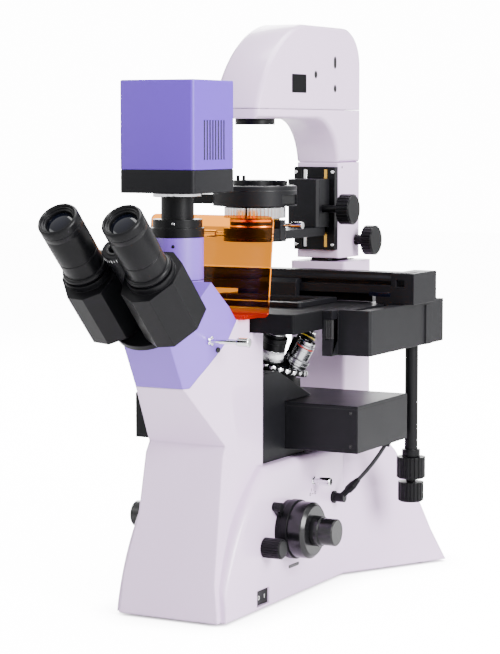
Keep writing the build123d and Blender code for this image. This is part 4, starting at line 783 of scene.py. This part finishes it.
# painted shade: dark plates in the vent slits
vent_shades = [plate(slit, (side * VENT_SIDE, y, VENT_HEIGHT), Y, Z, -side * 2 * X)
         for side in (-1, 1) for y in vent_rows]
put("vent_painted_shade", vent_shades, painted_shade_and_dark_marks, "camera_housing")
seam = hoop(square_band(24.5, 24.78, 325.6, 326.2), PORT, Z, segments=96)
put("tube_seam", [seam], painted_shade_and_dark_marks, "trinocular_tube", 40)
SCREW_SIDE = radians(19.75)    # round the port from the operator towards +X
outward = np.array((sin(SCREW_SIDE), -cos(SCREW_SIDE), 0))
for name, radius, depth, out, height, metal, solid in (
        ("tube_screw", 1.7, 0.6, 24.5, 358, black_gloss, "trinocular_tube"),
        ("adapter_screw", 1.6, 0.9, 23.3, 379, chrome, "camera_adapter")):
    screw = spun(disc(radius, depth), PORT + out * outward + height * Z, outward, segments=32)
    put(name, [screw], metal, solid)
print("camera dressed")

# %% [markdown]
# The pull rods leave through little star-shaped plates. The stand's right side has an indicator
# slot, marks beside the lower rod and on the switch, and the sleeve of the lead's plug. The lamp
# box has its screws and the thin line of its lid.

# %% Plates, plugs and marks
star_angle = np.linspace(0, tau, 60, endpoint=False)
star_reach = 3.9 + 0.9 * np.cos(5 * star_angle)
star = np.stack([star_reach * np.cos(star_angle), star_reach * np.sin(star_angle)], axis=1)
HEAD_OUT, HEAD_ALONG = np.array((0.952, -0.307, 0.0)), np.array((0.307, 0.952, 0.0))
head_star = plate(star, (41.0, -169, 270), HEAD_ALONG, Z, 2.0 * HEAD_OUT)
put("head_rod_plate", [head_star], chrome, "head_housing", 30)
put("body_rod_plate", [plate(star, (59.7, 13, 112), Y, Z, 1.6 * X)], chrome, "stand_body", 30)
head_plug = spun(disc(2.7, 1.6), (43.4, -159, 260.6), HEAD_OUT, segments=40)
put("head_plug", [head_plug], black_gloss, "head_housing")
indicator = plate(rounded(23, 3.4, 1.6), (59.8, -31, 33), Y, Z, 0.6 * X)
put("indicator", [indicator], black_gloss, "stand_body", 30, 0.0002)

STAND_SIDE = 59.95
marks = [plate(rounded(wide, tall, 0.3, 2), (STAND_SIDE, y, z), Y, Z, 0.12 * X)
         for y, z, wide, tall in ((9.0, 103.0, 0.9, 3.2), (14.5, 102.0, 0.9, 1.6),
                                  (12.0, 98.6, 3.6, 0.8))]
marks += [hoop(square_band(1.0, 1.7, 0, 0.12), (STAND_SIDE, y, 98.8), X, segments=32)
          for y in (6.4, 17.6)]
put("rod_marks", marks, painted_shade_and_dark_marks, "stand_body")
SWITCH_SIDE, SWITCH_HEIGHT = 57.6, 13.5
on_mark = plate(rounded(0.7, 4.0, 0.2, 2), (SWITCH_SIDE, -91, SWITCH_HEIGHT), Y, Z, 0.5 * X)
off_mark = hoop(square_band(1.5, 2.0, 0, 0.5), (SWITCH_SIDE, -103, SWITCH_HEIGHT), X, segments=32)
put("switch_marks", [on_mark, off_mark], mark_white, "power_rocker")

lamp_screws = [spun(disc(1.7, 0.6), (119, -25, z), -Y, segments=32) for z in (156, 189)]
put("lamp_screws", lamp_screws, black_gloss, "fluorescence_unit")
SEAM_HEIGHT, SEAM_WIDTH = 192.5, 0.4


def seam_outline(start, end):
    """The outline of a seam's line from start to end, SEAM_WIDTH high."""
    return [(start, 0), (end, 0), (end, SEAM_WIDTH), (start, SEAM_WIDTH)]


lamp_seam = [plate(seam_outline(-126.4, 126.4), (0, -25.05, SEAM_HEIGHT), X, Z, 0.1 * Y),
             plate(seam_outline(-24.4, 96.4), (127.05, 0, SEAM_HEIGHT), Y, Z, -0.1 * X)]
put("lamp_seam", lamp_seam, painted_shade_and_dark_marks, "fluorescence_unit")
SLEEVE_STEPS = [(0, -3.5), (4.2, -3.5), (4.4, -2.5), (4.4, 5.0), (3.9, 5.8), (3.9, 7.4), (3.4, 8.2),
                (3.4, 9.8), (2.9, 10.6), (2.9, 12.2), (2.3, 13.2), (0, 13.2)]
lead_start, lead_next = np.array(LEAD_ROUTE[:2]) / MM
plug_sleeve = spun(SLEEVE_STEPS, lead_start, lead_next - lead_start, segments=48)
put("plug_sleeve", [plug_sleeve], black_plastic, "lead_plug", 30)
print("plates and marks in place")

# %% [markdown]
# On the arm, dark discs paint the shade inside the openings of the cover, and a bare dark plate
# stands where the arm has a sign. The stage has a small window in its bar, a dark skirt that closes
# the gap under the bar and paints the shade there, and a bellows beside the drive box.

# %% Arm and stage
COVER_INSIDE = 22.0
# painted shade: dark discs inside the openings of the cover
hole_shade = disc(3.95, 3.0, 0.1)
arm_opening_shades = [spun(hole_shade, (COVER_INSIDE, 88.0, 523.7), X, segments=40),
                spun(hole_shade, (COVER_INSIDE, 134.5, 510.0), X, segments=40),
                plate(rounded(7.4, 12.9, 3.65), (COVER_INSIDE, 134.3, 537.3), Y, Z, 3.0 * X)]
put("arm_opening_shades", arm_opening_shades, painted_shade_and_dark_marks, "lamp_cover")
arm_sign = plate(rounded(33, 19, 1.2), (25.4, 48.5, 514.0), Y, Z, 0.35 * X)
put("arm_sign", [arm_sign], stage_black, "lamp_cover")
# painted shade: a dark disc for a small hole in the pillar
pillar_hole_shade = spun(disc(1.3, 0.1, 0.02), (25.45, 152, 427), X, segments=24)
put("pillar_hole_shade", [pillar_hole_shade], painted_shade_and_dark_marks, "arm_pillar")
bar_window = plate(rounded(24, 4.2, 0.8), (112.5, 58.0, 300.5), X, Z, -0.1 * Y)
put("bar_window", [bar_window], coated_lens, "specimen_bar")
fold = rounded(1.0, 19, 0.4, 3)
bellows = [plate(fold, (x, -37.6, 272.0), X, Z, 4.0 * Y) for x in np.linspace(98.2, 104.2, 4)]
put("bellows", bellows, black_rubber, "stage_drive_box")
# painted shade: a dark skirt closes the gap under the bar
SKIRT = [(-60, 0), (96, 0), (96, 9.0), (-60, 9.0)]
put("bar_shade_skirt", [plate(SKIRT, (0, 76.0, 291.5), X, Z, 1.0 * Y)], stage_black, "specimen_bar")
print("arm and stage dressed")

# %% [markdown]
# The lead leaves its plug on the stand's side and ends in the lamp box.

# %% Where the lead ends
print("the lead ends in the lamp box")
